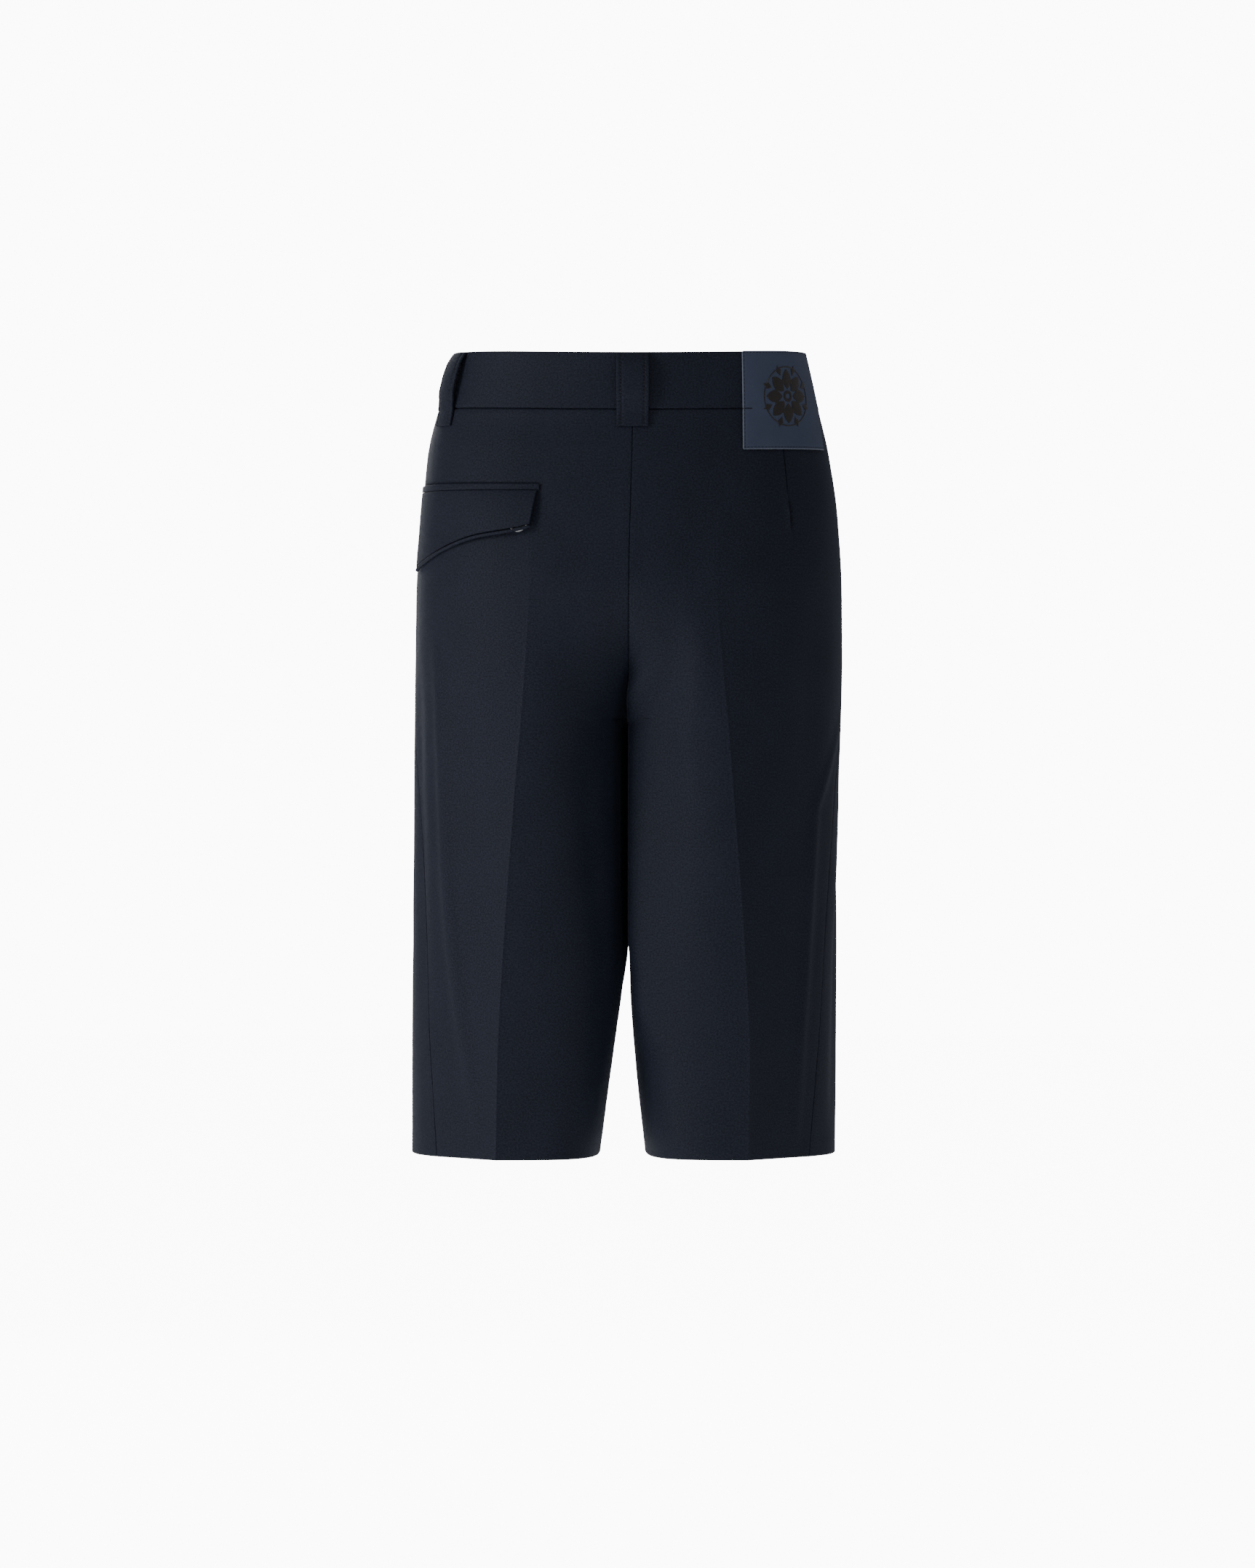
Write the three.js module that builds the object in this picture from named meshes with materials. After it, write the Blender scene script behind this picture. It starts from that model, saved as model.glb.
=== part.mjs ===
// Knee-length tailored shorts of navy wool twill, filled out as they are worn, with nobody in them.
// Millimetres, +Z up. The origin is the centre of the waist, about halfway up the waistband.
// The front faces -Y and the wearer's left side is +X. Every piece of cloth is a wall on one shared
// surface: rings worked out from the section table, each half ring made of four curves.

import * as THREE from "three";

const { lerp, smoothstep, clamp, degToRad } = THREE.MathUtils;

// Cloth
const CLOTH = 1.4; // wall of the suiting
const HEM_WALL = 2.8; // the same wall where the hem is turned up inside
const HEM_TURN_UP = 38;
const SEAM_GAP = 0.3; // left open between two pieces that are sewn together

// Heights
const WAIST_TOP = 17.3;
const WAIST_SEAM = -26;
const CROTCH = -262;
const HEM = -597;
const BACK_SEAM_BENDS = -150; // below this the centre-back seam curves in under the seat
const FRONT_SEAM_BENDS = -172;
const INSEAM_Y = -4; // where the legs' inner seams and the crotch lie, front to back
const CROTCH_CORNER = 0.66; // how square a leg is where its back and front turn in to the inner side
const SPREAD = 0.4; // how fast the legs' inner sides run into each other above the crotch

// The right leg's back folds over sharply into its inner side: between a place on the inner side and
// one on the back, the curve is drawn out towards a tip beside the centre.
const FOLD_OVER = { fromY: 30, toX: 40, apart: 0.6, pull: 5, starts: [-246, -212], ends: [-540, -470] };

// The waist runs a little higher at the sides and lower at the front than at the back.
const SIDE_RISE = 5;
const FRONT_DROP = 9;
const RISE_ENDS = -200; // the rise has faded out here
const BACK_LEAN = -3; // the centre-back seam leans to the wearer's right at the waist
const LEAN_ENDS = -165;

// Waistband and belt loops
const BAND_PROUD = 0.5; // how far the band stands out from the panels' surface
const BAND_WALL = 2.8;
const TAB_LENGTH = 30; // the band's overlap at the front
const TAB_RAMP = 26;
const LOOP_WIDTH = 24;
const LOOP_WALL = 1.9;

// A belt loop from its top end to its folded-under lower end. gap is the share of the loop's own
// height that the cloth stands off there; the ends are sewn down.
const LOOP_PROFILE = [
  { z: 16.5, gap: 0 },
  { z: 12.5, gap: 0.42 },
  { z: 6, gap: 0.86 },
  { z: -3, gap: 1 },
  { z: -12, gap: 0.96 },
  { z: -20, gap: 0.62 },
  { z: -24, gap: 0.34 },
  { z: -29, gap: 0.12 },
  { z: -38.7, gap: 0.02 },
];

// from is the distance of the loop's middle from the centre back, round the waist, at its top end.
// leans is how far the middle moves on towards the front on its way down.
const LOOPS = {
  centre_back: { half: "left", from: 0, stands: 3.6, leans: 0 },
  left_back: { half: "left", from: 152.5, stands: 3.9, leans: 11.5 },
  left_front: { half: "left", from: 262, stands: 3.4, leans: 0 },
  right_front: { half: "right", from: 262, stands: 3.4, leans: 0 },
};

// Leather label, on the band and the back below it
const LABEL = { from: 86.3, width: 89, top: 17.3, bottom: -57.3, wall: 1.7, corner: 2.5 };

// Left back pocket, in distances from the centre back. The flap hangs from the welt; its lower edge
// is a table of [distance, height] and ends in a bound roll.
const WELT = { from: 69.5, to: 208, top: -84.5, bottom: -89.2, wall: 1.6 };
const FLAP_EDGE = [
  [76.5, -114.5], [90, -118], [121, -123.5], [149.5, -130.5],
  [175, -138], [197.5, -143.5], [206, -146],
];
const FLAP = {
  innerTop: 71, top: -89.5, wall: 1.6, topOut: 0.3, edgeOut: 0.8, innerOut: 3.9, innerReach: 78,
};
const BINDING = { height: 2.4, proud: 0.5 };

// Trouser buttons
const BUTTON = { radius: 7.5, thickness: 2.3, holes: 4, holeRadius: 0.9, holeRing: 1.7 };
const POCKET_BUTTON = { from: 85, z: -113.6 };
const WAIST_BUTTON = { beyondCentre: 17, z: -4 };

// Fly: the right front laps over the left one
const FLY_LAP = 8;
const FLY_OUT = 1.9;
const FLY_RAMP = 36;
const FLY_LAP_ENDS = [-165, -180]; // the lap narrows between these heights
const FLY_OUT_ENDS = [-182, -212]; // and then the edge settles back

// Sections from the waist down to the hem. side is the half width, crease the place of the back
// crease from the centre, backFold and frontFold how far the cloth turns at a pressed crease, in
// degrees, and slope the turn it has made on the way there. seam is where the side seam lies, as a
// share of the way from the back crease to the widest point.
const SECTION_COLUMNS = [
  "z", "sideLeft", "sideRight", "sideY", "creaseLeft", "creaseRight", "backY", "backSlope",
  "backFold", "centreBack", "frontX", "frontY", "frontSlope", "frontFold", "centreFront", "seam",
];
const SECTIONS = [
  [26, 132.6, 133.6, -4, 68, 68, 83, 19, 0, 95, 66, -83, 19, 0, -94, 1],
  [-30, 148.8, 148.4, -2, 70, 70, 89.5, 17.6, 0, 101, 68, -88, 18, 0, -99, 1],
  [-60, 155.6, 155.4, 1, 72, 70, 98, 16, 0, 109, 70, -92, 15, 2, -102, 1],
  [-110, 160, 162.4, 4, 73, 67, 111, 13, 1, 119, 72, -96, 12, 5, -104, 1],
  [-165, 164.4, 165.2, 6, 75, 67, 119, 10, 5, 125, 75, -98, 9, 10, -105, 0.99],
  [-215, 165, 165.4, 6, 78, 70.5, 119, 7, 10, 124, 78, -99, 7, 14, -105, 0.96],
  [-262, 165.7, 164.6, 5, 81.5, 75, 117, 5, 16, 121, 82, -100, 5, 19, -104, 0.9],
  [-320, 166.3, 163, 4, 86.5, 79.5, 114, 4, 24, 117, 86, -100, 4, 25, -103, 0.78],
  [-420, 167.2, 162.2, 2, 94, 87, 108, 3, 35, 110, 92, -99, 3, 34, -101, 0.66],
  [-520, 168, 161.2, 0, 99.5, 92, 102, 2, 42, 104, 96, -98, 2, 40, -100, 0.58],
  [-597, 168, 160.4, -1, 101, 91, 99, 1, 46, 101, 97, -97, 1, 44, -99, 0.52],
].map((row) => Object.fromEntries(SECTION_COLUMNS.map((key, i) => [key, row[i]])));

// Half the space between the legs: they hang against each other and part above the hem.
const INNER_LEG = [
  { z: CROTCH, left: 0.6, right: 0.6 },
  { z: -436, left: 0.6, right: 0.6 },
  { z: -470, left: 5, right: 1.4 },
  { z: -520, left: 12, right: 4.8 },
  { z: HEM, left: 22.3, right: 13 },
];

const HALVES = {
  left: { sign: 1, side: "sideLeft", crease: "creaseLeft", inner: "left", hemCorner: 0.88 },
  right: { sign: -1, side: "sideRight", crease: "creaseRight", inner: "right", hemCorner: 0.85 },
};

// Soft folds. at is a list of [place round the half ring, height], where 0 is the centre back or
// inseam, 1 the back crease, 2 the widest point, 3 the front crease and 4 the centre front. width is
// the half width and depth the height of the ridge, or below 0 a trough, in millimetres.
const FOLDS = [
  {
    half: "left", width: 9, depth: 3.2,
    at: [[1.72, -215], [1.62, -290], [1.55, -360], [1.46, -440], [1.3, -520], [1.22, -565]],
  },
  { half: "left", width: 13, depth: -1.6, at: [[1.42, -240], [1.36, -330], [1.28, -420]] },
  {
    half: "left", width: 14, depth: -3,
    at: [[0.66, -260], [0.62, -330], [0.5, -440], [0.44, -500]],
  },
  { half: "left", width: 9, depth: 1.6, at: [[0.36, -290], [0.32, -380], [0.26, -450]] },
  { half: "right", width: 15, depth: -2.2, at: [[0.5, -160], [0.52, -250], [0.5, -340]] },
  { half: "right", width: 9, depth: 1, at: [[0.78, -180], [0.8, -260], [0.82, -330]] },
  { half: "right", width: 16, depth: -1.8, at: [[1.55, -150], [1.5, -260], [1.42, -380]] },
  {
    half: "right", width: 6, depth: 2.4,
    at: [[1.93, -255], [1.74, -320], [1.64, -420], [1.55, -520], [1.5, -590]],
  },
  {
    half: "right", width: 12, depth: -3.4,
    at: [[2.05, -330], [1.9, -430], [1.84, -520], [1.8, -585]],
  },
  {
    half: "left", width: 14, depth: -3,
    at: [[2.25, -300], [2.3, -400], [2.34, -500], [2.36, -580]],
  },
  { half: "left", width: 14, depth: -2.6, at: [[3.4, -290], [3.45, -380], [3.5, -470]] },
  { half: "right", width: 14, depth: -2.6, at: [[2.42, -280], [2.48, -380], [2.5, -500]] },
  { half: "right", width: 13, depth: -2.8, at: [[3.5, -280], [3.52, -370], [3.58, -480]] },
];

// The dart runs down the right back from the waist seam, [distance from the centre back, height].
const DART = { from: [121, -26], to: [130, -106], width: 2.6, depth: -1, pucker: 7, puckerDepth: -1.4 };

// Finishes
const NAVY_CLOTH = { color: 0x12161f, roughness: 0.85, metalness: 0 };
const BLUE_LEATHER = { color: 0x25303f, roughness: 0.6, metalness: 0 };
const DARK_HORN = { color: 0x16181c, roughness: 0.3, metalness: 0 };

const shorts = new THREE.Group();
shorts.name = "bermuda_shorts";

// A smooth value down a table's column, with no overshoot between rows.
function columnOf(rows, key) {
  const down = [...rows].sort((a, b) => a.z - b.z);
  const step = down.slice(1).map((row, i) => (row[key] - down[i][key]) / (row.z - down[i].z));
  const slope = down.map((row, i) => {
    if (i === 0) return step[0];
    if (i === down.length - 1) return step[i - 1];
    const before = step[i - 1];
    const after = step[i];
    return before * after <= 0 ? 0 : (2 * before * after) / (before + after);
  });
  return (z) => {
    const height = clamp(z, down[0].z, down.at(-1).z);
    const i = Math.min(down.findLastIndex((row) => row.z <= height), down.length - 2);
    const span = down[i + 1].z - down[i].z;
    const t = (height - down[i].z) / span;
    const rise = t * t * (3 - 2 * t);
    const leave = t * (1 - t) * (1 - t) * span * slope[i];
    const arrive = t * t * (1 - t) * span * slope[i + 1];
    return lerp(down[i][key], down[i + 1][key], rise) + leave - arrive;
  };
}

const section = Object.fromEntries(SECTION_COLUMNS.slice(1).map((key) => [key, columnOf(SECTIONS, key)]));
const innerLeg = { left: columnOf(INNER_LEG, "left"), right: columnOf(INNER_LEG, "right") };

// The part of a curve beyond the plane between the halves.
function beyondCentre(curve) {
  let [low, high] = [0, 1];
  for (let i = 0; i < 30; i++) {
    const middle = (low + high) / 2;
    if (curve.getPoint(middle).x < SEAM_GAP / 2) low = middle;
    else high = middle;
  }
  const between = (a, b) => a.clone().lerp(b, high);
  const first = [between(curve.v0, curve.v1), between(curve.v1, curve.v2), between(curve.v2, curve.v3)];
  const second = [between(first[0], first[1]), between(first[1], first[2])];
  return new THREE.CubicBezierCurve(between(second[0], second[1]), second[1], first[2], curve.v3);
}

function mixed(from, to, t) {
  const point = (key) => from[key].clone().lerp(to[key], t);
  return new THREE.CubicBezierCurve(point("v0"), point("v1"), point("v2"), point("v3"));
}

// One curve of a half ring, from the centre or inseam out to a crease. Below the crotch it is a leg's
// inner side. Above it the two legs run into each other and part of them is cut off at the centre
// seam, which makes the crotch curve, and from there the curve flattens into the seat or the belly.
function innerCurve(half, z, crease, slope, centreY, bends, facing) {
  const corner = lerp(half.hemCorner, CROTCH_CORNER, smoothstep(z, HEM, CROTCH));
  const start = new THREE.Vector2(z < CROTCH ? innerLeg[half.inner](z) : -SPREAD * (z - CROTCH), INSEAM_Y);
  const reach = corner * Math.abs(crease.y - start.y);
  const lead = corner * 0.92 * (crease.x - Math.max(start.x, 0));
  const along = new THREE.Vector2(Math.cos(slope), -facing * Math.sin(slope));
  const inside = start.clone().add(new THREE.Vector2(0, facing * reach));
  const before = crease.clone().addScaledVector(along, -lead);
  const leg = new THREE.CubicBezierCurve(start, inside, before, crease);
  if (z < CROTCH) return leg;
  const centre = new THREE.Vector2(SEAM_GAP / 2, centreY);
  const flat = 0.36 * (crease.x - centre.x);
  const level = centre.clone().add(new THREE.Vector2(flat, 0));
  const arrive = crease.clone().addScaledVector(along, -flat);
  const seat = new THREE.CubicBezierCurve(centre, level, arrive, crease);
  return mixed(beyondCentre(leg), seat, smoothstep(z, CROTCH, bends));
}

// An inner curve with its corner drawn out, as the right leg's back has it.
class FoldedOver extends THREE.Curve {
  constructor(curve, share) {
    super();
    this.curve = curve;
    this.share = share;
    const steps = evenly(0, 1, 200);
    this.first = Math.max(steps.find((t) => curve.getPoint(t).y >= FOLD_OVER.fromY), 0);
    this.last = steps.find((t) => curve.getPoint(t).x >= FOLD_OVER.toX);
    this.from = curve.getPoint(this.first);
    this.to = curve.getPoint(this.last);
    const way = curve.getTangent(this.last);
    const x = Math.max(curve.getPoint(0).x, SEAM_GAP / 2) + FOLD_OVER.apart;
    this.tip = new THREE.Vector2(x, this.to.y + (way.y / way.x) * (x - this.to.x));
  }

  getPoint(t, target = new THREE.Vector2()) {
    const plain = this.curve.getPoint(t);
    if (t <= this.first || t >= this.last) return target.copy(plain);
    const s = (t - this.first) / (this.last - this.first);
    const weights = [(1 - s) ** 2, 2 * FOLD_OVER.pull * s * (1 - s), s ** 2];
    const drawn = new THREE.Vector2();
    [this.from, this.tip, this.to].forEach((point, k) => drawn.addScaledVector(point, weights[k]));
    drawn.divideScalar(weights[0] + weights[1] + weights[2]);
    return target.copy(plain.lerp(drawn, this.share));
  }
}

function foldedOver(half, z, curve) {
  const share = smoothstep(-z, -FOLD_OVER.starts[1], -FOLD_OVER.starts[0])
    * smoothstep(z, FOLD_OVER.ends[0], FOLD_OVER.ends[1]);
  return half.inner === "right" && share > 0 ? new FoldedOver(curve, share) : curve;
}

// The curve from a crease round to the widest point, which it meets running front to back.
function outerCurve(crease, side, turn, facing) {
  const reach = 0.4 * crease.distanceTo(side);
  const leave = new THREE.Vector2(Math.cos(turn), -facing * Math.sin(turn)).multiplyScalar(reach);
  const arrive = new THREE.Vector2(0, facing * reach);
  return new THREE.CubicBezierCurve(crease, crease.clone().add(leave), side.clone().add(arrive), side);
}

function reversed(curve) {
  return new THREE.CubicBezierCurve(curve.v3, curve.v2, curve.v1, curve.v0);
}

// The four curves of a half ring at a height, in that half's own x, from centre back to centre front.
const ringCache = new Map();
function halfRing(half, z) {
  const key = half.inner + z;
  if (ringCache.has(key)) return ringCache.get(key);
  const value = (name) => section[name](z);
  const backCrease = new THREE.Vector2(value(half.crease), value("backY"));
  const frontCrease = new THREE.Vector2(value("frontX"), value("frontY"));
  const side = new THREE.Vector2(value(half.side), value("sideY"));
  const backSlope = degToRad(value("backSlope"));
  const frontSlope = degToRad(value("frontSlope"));
  const ring = [
    foldedOver(half, z, innerCurve(half, z, backCrease, backSlope, value("centreBack"), BACK_SEAM_BENDS, 1)),
    outerCurve(backCrease, side, backSlope + degToRad(value("backFold")), 1),
    reversed(outerCurve(frontCrease, side, frontSlope + degToRad(value("frontFold")), -1)),
    reversed(innerCurve(half, z, frontCrease, frontSlope, value("centreFront"), FRONT_SEAM_BENDS, -1)),
  ];
  ringCache.set(key, ring);
  return ring;
}

// A point of the surface, before folds: half, place round the half ring from 0 to 4, and height.
function base(half, u, level) {
  const ring = halfRing(half, level);
  const k = clamp(Math.floor(u), 0, 3);
  const p = ring[k].getPointAt(clamp(u - k, 0, 1));
  const side = section[half.side](level);
  const across = clamp(p.x / side, 0, 1);
  const forward = clamp(p.y / section.centreFront(level), 0, 1);
  const rise = SIDE_RISE * across ** 2 - FRONT_DROP * forward ** 2;
  const lean = BACK_LEAN * smoothstep(level, LEAN_ENDS, WAIST_SEAM) * (1 - across ** 2);
  const lifted = level + rise * smoothstep(level, RISE_ENDS, WAIST_SEAM);
  return new THREE.Vector3(half.sign * p.x + lean, p.y, lifted);
}

// The surface's outward direction there. It leans on the neighbours, so a crease gets the mean of
// its two sides.
function outward(half, u, level) {
  const along = 0.02;
  const step = 0.5;
  const lowest = level >= CROTCH ? CROTCH : HEM;
  const low = Math.max(level - step, lowest);
  const high = level < CROTCH ? Math.min(level + step, CROTCH - 1e-6) : level + step;
  const beside = base(half, Math.max(u - along, 0), level);
  const acrossWay = base(half, Math.min(u + along, 4), level).sub(beside);
  const upWay = base(half, u, high).sub(base(half, u, low));
  return upWay.cross(acrossWay).multiplyScalar(half.sign).normalize();
}

function distanceAlong(half, u, level) {
  const ring = halfRing(half, level);
  const k = clamp(Math.floor(u), 0, 3);
  const before = ring.slice(0, k).reduce((sum, curve) => sum + curve.getLength(), 0);
  return before + (u - k) * ring[k].getLength();
}

// The place round the half ring that lies a distance from the centre back.
function placeAt(half, distance, level) {
  let left = distance;
  for (const [k, curve] of halfRing(half, level).entries()) {
    const length = curve.getLength();
    if (left <= length || k === 3) return k + Math.min(left / length, 1);
    left -= length;
  }
}

// A fold's height at a place: a soft ridge or trough that fades at both ends.
function foldHeight(fold, half, u, level) {
  const heights = fold.at.map(([, z]) => z);
  const top = heights[0];
  const bottom = heights.at(-1);
  if (level > top || level < bottom) return 0;
  const i = Math.max(heights.findLastIndex((z) => z >= level), 0);
  const next = Math.min(i + 1, heights.length - 1);
  const t = next === i ? 0 : (heights[i] - level) / (heights[i] - heights[next]);
  const place = lerp(fold.at[i][0], fold.at[next][0], t);
  const away = distanceAlong(half, u, level) - distanceAlong(half, place, level);
  const fade = Math.sin(Math.PI * clamp((top - level) / (top - bottom), 0, 1)) ** 0.7;
  return fold.depth * fade * Math.exp(-((away / fold.width) ** 2));
}

function dartHeight(u, level) {
  const t = (DART.from[1] - level) / (DART.from[1] - DART.to[1]);
  if (t < 0 || t > 1.15) return 0;
  const away = distanceAlong(HALVES.right, u, level) - lerp(DART.from[0], DART.to[0], t);
  const line = DART.depth * (1 - smoothstep(t, 0.85, 1.1)) * Math.exp(-((away / DART.width) ** 2));
  const tip = DART.puckerDepth * Math.exp(-(((t - 0.95) / 0.12) ** 2) - ((away / DART.pucker) ** 2));
  return line + tip;
}

function folds(half, u, level) {
  const own = FOLDS.filter((fold) => HALVES[fold.half] === half);
  const soft = own.reduce((sum, fold) => sum + foldHeight(fold, half, u, level), 0);
  return half === HALVES.right ? soft + dartHeight(u, level) : soft;
}

// A point on the cloth's outer face, moved out.
function onCloth(half, u, level, out) {
  const lift = level < WAIST_SEAM ? folds(half, u, level) : 0;
  return base(half, u, level).addScaledVector(outward(half, u, level), lift + out);
}

// A closed wall from two grids of points, outer and inner, each a list of rows.
function wallGeometry(outer, inner, flipped) {
  const rows = outer.length;
  const columns = outer[0].length;
  const points = [...outer.flat(), ...inner.flat()];
  const faces = [];
  const quad = (a, b, c, d) => (flipped ? faces.push(a, c, b, a, d, c) : faces.push(a, b, c, a, c, d));
  const front = (i, j) => i * columns + j;
  const behind = (i, j) => rows * columns + i * columns + j;
  for (let i = 0; i < rows - 1; i++) {
    for (let j = 0; j < columns - 1; j++) {
      quad(front(i, j), front(i + 1, j), front(i + 1, j + 1), front(i, j + 1));
      quad(behind(i, j), behind(i, j + 1), behind(i + 1, j + 1), behind(i + 1, j));
    }
    quad(front(i, 0), behind(i, 0), behind(i + 1, 0), front(i + 1, 0));
    const last = columns - 1;
    quad(front(i, last), front(i + 1, last), behind(i + 1, last), behind(i, last));
  }
  for (let j = 0; j < columns - 1; j++) {
    quad(front(0, j), front(0, j + 1), behind(0, j + 1), behind(0, j));
    const last = rows - 1;
    quad(front(last, j), behind(last, j), behind(last, j + 1), front(last, j + 1));
  }
  const geometry = new THREE.BufferGeometry().setFromPoints(points);
  geometry.setIndex(faces);
  geometry.computeVertexNormals();
  return geometry;
}

function addMesh(name, geometry, finish) {
  const mesh = new THREE.Mesh(geometry, new THREE.MeshStandardMaterial(finish));
  mesh.name = name;
  shorts.add(mesh);
  return mesh;
}

function addWall(name, outer, inner, flipped, finish) {
  return addMesh(name, wallGeometry(outer, inner, flipped), finish);
}

function evenly(from, to, count) {
  return Array.from({ length: count + 1 }, (_, i) => lerp(from, to, i / count));
}

// Rows of a leg panel: closer together where the crotch seam curves in, and at the turned-up hem.
function panelLevels() {
  const seat = evenly(WAIST_SEAM - SEAM_GAP / 2, BACK_SEAM_BENDS, 9);
  const depths = evenly(0, 1, 10).slice(1).map((t) => Math.sin(t * Math.PI / 2));
  const crotch = depths.map((depth) => lerp(BACK_SEAM_BENDS, CROTCH, depth));
  const hemTop = HEM + HEM_TURN_UP;
  const leg = evenly(CROTCH, hemTop + 0.8, 15).slice(1);
  return [...seat, ...crotch, ...leg, hemTop - 0.8, HEM + 12, HEM];
}

const PANEL_LEVELS = panelLevels();

function panelWall(level) {
  return lerp(CLOTH, HEM_WALL, 1 - smoothstep(level, HEM + HEM_TURN_UP - 0.8, HEM + HEM_TURN_UP + 0.8));
}

// Places of a panel's columns at a height. Each end stops half a seam gap short of its seam.
function panelPlaces(half, level, stops, counts) {
  const ring = halfRing(half, level);
  const places = [stops[0]];
  counts.forEach((count, k) => places.push(...evenly(stops[k], stops[k + 1], count).slice(1)));
  const first = Math.min(Math.floor(stops[0]), 3);
  const last = Math.min(Math.ceil(stops.at(-1)) - 1, 3);
  places[0] += SEAM_GAP / 2 / ring[first].getLength();
  places[places.length - 1] -= SEAM_GAP / 2 / ring[last].getLength();
  return places;
}

const sideSeam = (level) => 1 + section.seam(level);

function addPanel(name, half, stopsAt, counts, shape) {
  const outer = [];
  const inner = [];
  for (const level of PANEL_LEVELS) {
    const places = panelPlaces(half, level, stopsAt(level), counts);
    const columns = places.map((u) => ({ half, u, out: 0 }));
    const row = shape ? shape(columns, level) : columns;
    outer.push(row.map((c) => onCloth(c.half, c.u, level, c.out)));
    inner.push(row.map((c) => onCloth(c.half, c.u, level, c.out - panelWall(level))));
  }
  return addWall(name, outer, inner, half.sign > 0, NAVY_CLOTH);
}

// The right front's edge stands out over the left front and laps past the centre.
function flyEdge(columns, level) {
  const { left, right } = HALVES;
  const lap = FLY_LAP * smoothstep(level, FLY_LAP_ENDS[1], FLY_LAP_ENDS[0]);
  const out = FLY_OUT * smoothstep(level, FLY_OUT_ENDS[1], FLY_OUT_ENDS[0]);
  const whole = distanceAlong(right, 4, level);
  const row = columns.map((c) => {
    const away = whole - distanceAlong(right, c.u, level);
    return { ...c, out: out * (1 - smoothstep(away, 0, FLY_RAMP)) };
  });
  if (lap <= 0.5) return row;
  const beyond = placeAt(left, distanceAlong(left, 4, level) - lap, level);
  row[row.length - 2] = { half: right, u: 4, out };
  row[row.length - 1] = { half: left, u: beyond, out };
  return row;
}

function addPanels() {
  for (const [name, half] of Object.entries(HALVES)) {
    const fly = name === "right" ? flyEdge : null;
    addPanel(`back_${name}`, half, (level) => [0, 1, sideSeam(level)], [10, 7]);
    addPanel(`front_${name}`, half, (level) => [sideSeam(level), 3, 4], [8, 8], fly);
  }
}

// A place at a distance from the centre back, on whichever half it falls. Beyond a half's own length
// it runs on round the front on to the other half.
function placeRound(half, distance, level) {
  const other = half === HALVES.left ? HALVES.right : HALVES.left;
  const whole = distanceAlong(half, 4, level);
  if (distance < 0) return { half: other, u: placeAt(other, -distance, level) };
  if (distance <= whole) return { half, u: placeAt(half, distance, level) };
  return { half: other, u: placeAt(other, distanceAlong(other, 4, level) - (distance - whole), level) };
}

// A point by distance from the centre back, moved out from the panels' surface.
function around(half, distance, level, out) {
  const place = placeRound(half, distance, level);
  return onCloth(place.half, place.u, level, out);
}

// A wall lying over the panels: the same columns at every level, out and wall per point.
function addOverlay(name, half, levels, distancesAt, outAt, wall, finish) {
  const grid = (depth) => levels.map((level, i) => distancesAt(level, i).map((distance, j) => (
    around(half, distance, level, outAt(i, j, distance, level) + depth)
  )));
  return addWall(name, grid(wall), grid(0), half.sign > 0, finish);
}

function addWaistband() {
  const levels = [WAIST_TOP, 9, -3, -15, WAIST_SEAM + SEAM_GAP / 2];
  for (const [name, half] of Object.entries(HALVES)) {
    const laps = name === "right";
    const row = (level, depth) => {
      const whole = distanceAlong(half, 4, level);
      const end = laps ? whole : whole - SEAM_GAP / 2;
      const spread = evenly(SEAM_GAP / 2, end, 26).map((distance) => ({ distance, out: BAND_PROUD }));
      if (laps) {
        const clear = BAND_WALL + SEAM_GAP;
        spread.forEach((c) => {
          c.out += clear * smoothstep(c.distance, whole - TAB_RAMP, whole - 2);
        });
        evenly(0, TAB_LENGTH, 4).slice(1).forEach((d) => {
          spread.push({ distance: whole + d, out: BAND_PROUD + clear });
        });
      }
      return spread.map((c) => around(half, c.distance, level, c.out - depth));
    };
    const outer = levels.map((level) => row(level, 0));
    const inner = levels.map((level) => row(level, BAND_WALL));
    addWall(`waistband_${name}`, outer, inner, half.sign > 0, NAVY_CLOTH);
  }
}

function addLoops() {
  const levels = LOOP_PROFILE.map((row) => row.z);
  for (const [name, loop] of Object.entries(LOOPS)) {
    const half = HALVES[loop.half];
    const across = evenly(-LOOP_WIDTH / 2, LOOP_WIDTH / 2, 4);
    const middle = (level) => (
      loop.from + loop.leans * (levels[0] - level) / (levels[0] - levels.at(-1))
    );
    const distancesAt = (level) => across.map((d) => middle(level) + d);
    const sewn = (level) => BAND_PROUD * (level > WAIST_SEAM ? 1 : 1 - smoothstep(-level, 25, 30));
    const outAt = (i, j, distance, level) => (
      sewn(level) + SEAM_GAP + LOOP_PROFILE[i].gap * loop.stands
    );
    addOverlay(`loop_${name}`, half, levels, distancesAt, outAt, LOOP_WALL, NAVY_CLOTH);
  }
}

function addLabel() {
  const { corner } = LABEL;
  const between = [7, -3, -13, -25, -35, -45];
  const levels = [LABEL.top, LABEL.top - corner, ...between, LABEL.bottom + corner, LABEL.bottom];
  const inset = (i) => (i === 0 || i === levels.length - 1 ? corner : 0);
  const distancesAt = (level, i) => evenly(LABEL.from + inset(i), LABEL.from + LABEL.width - inset(i), 12);
  const out = BAND_PROUD + SEAM_GAP;
  addOverlay("label_patch", HALVES.right, levels, distancesAt, () => out, LABEL.wall, BLUE_LEATHER);
}

// Height of the flap's lower edge at a distance from the centre back.
const flapEdge = columnOf(FLAP_EDGE.map(([distance, z]) => ({ z: distance, edge: z })), "edge");

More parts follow.
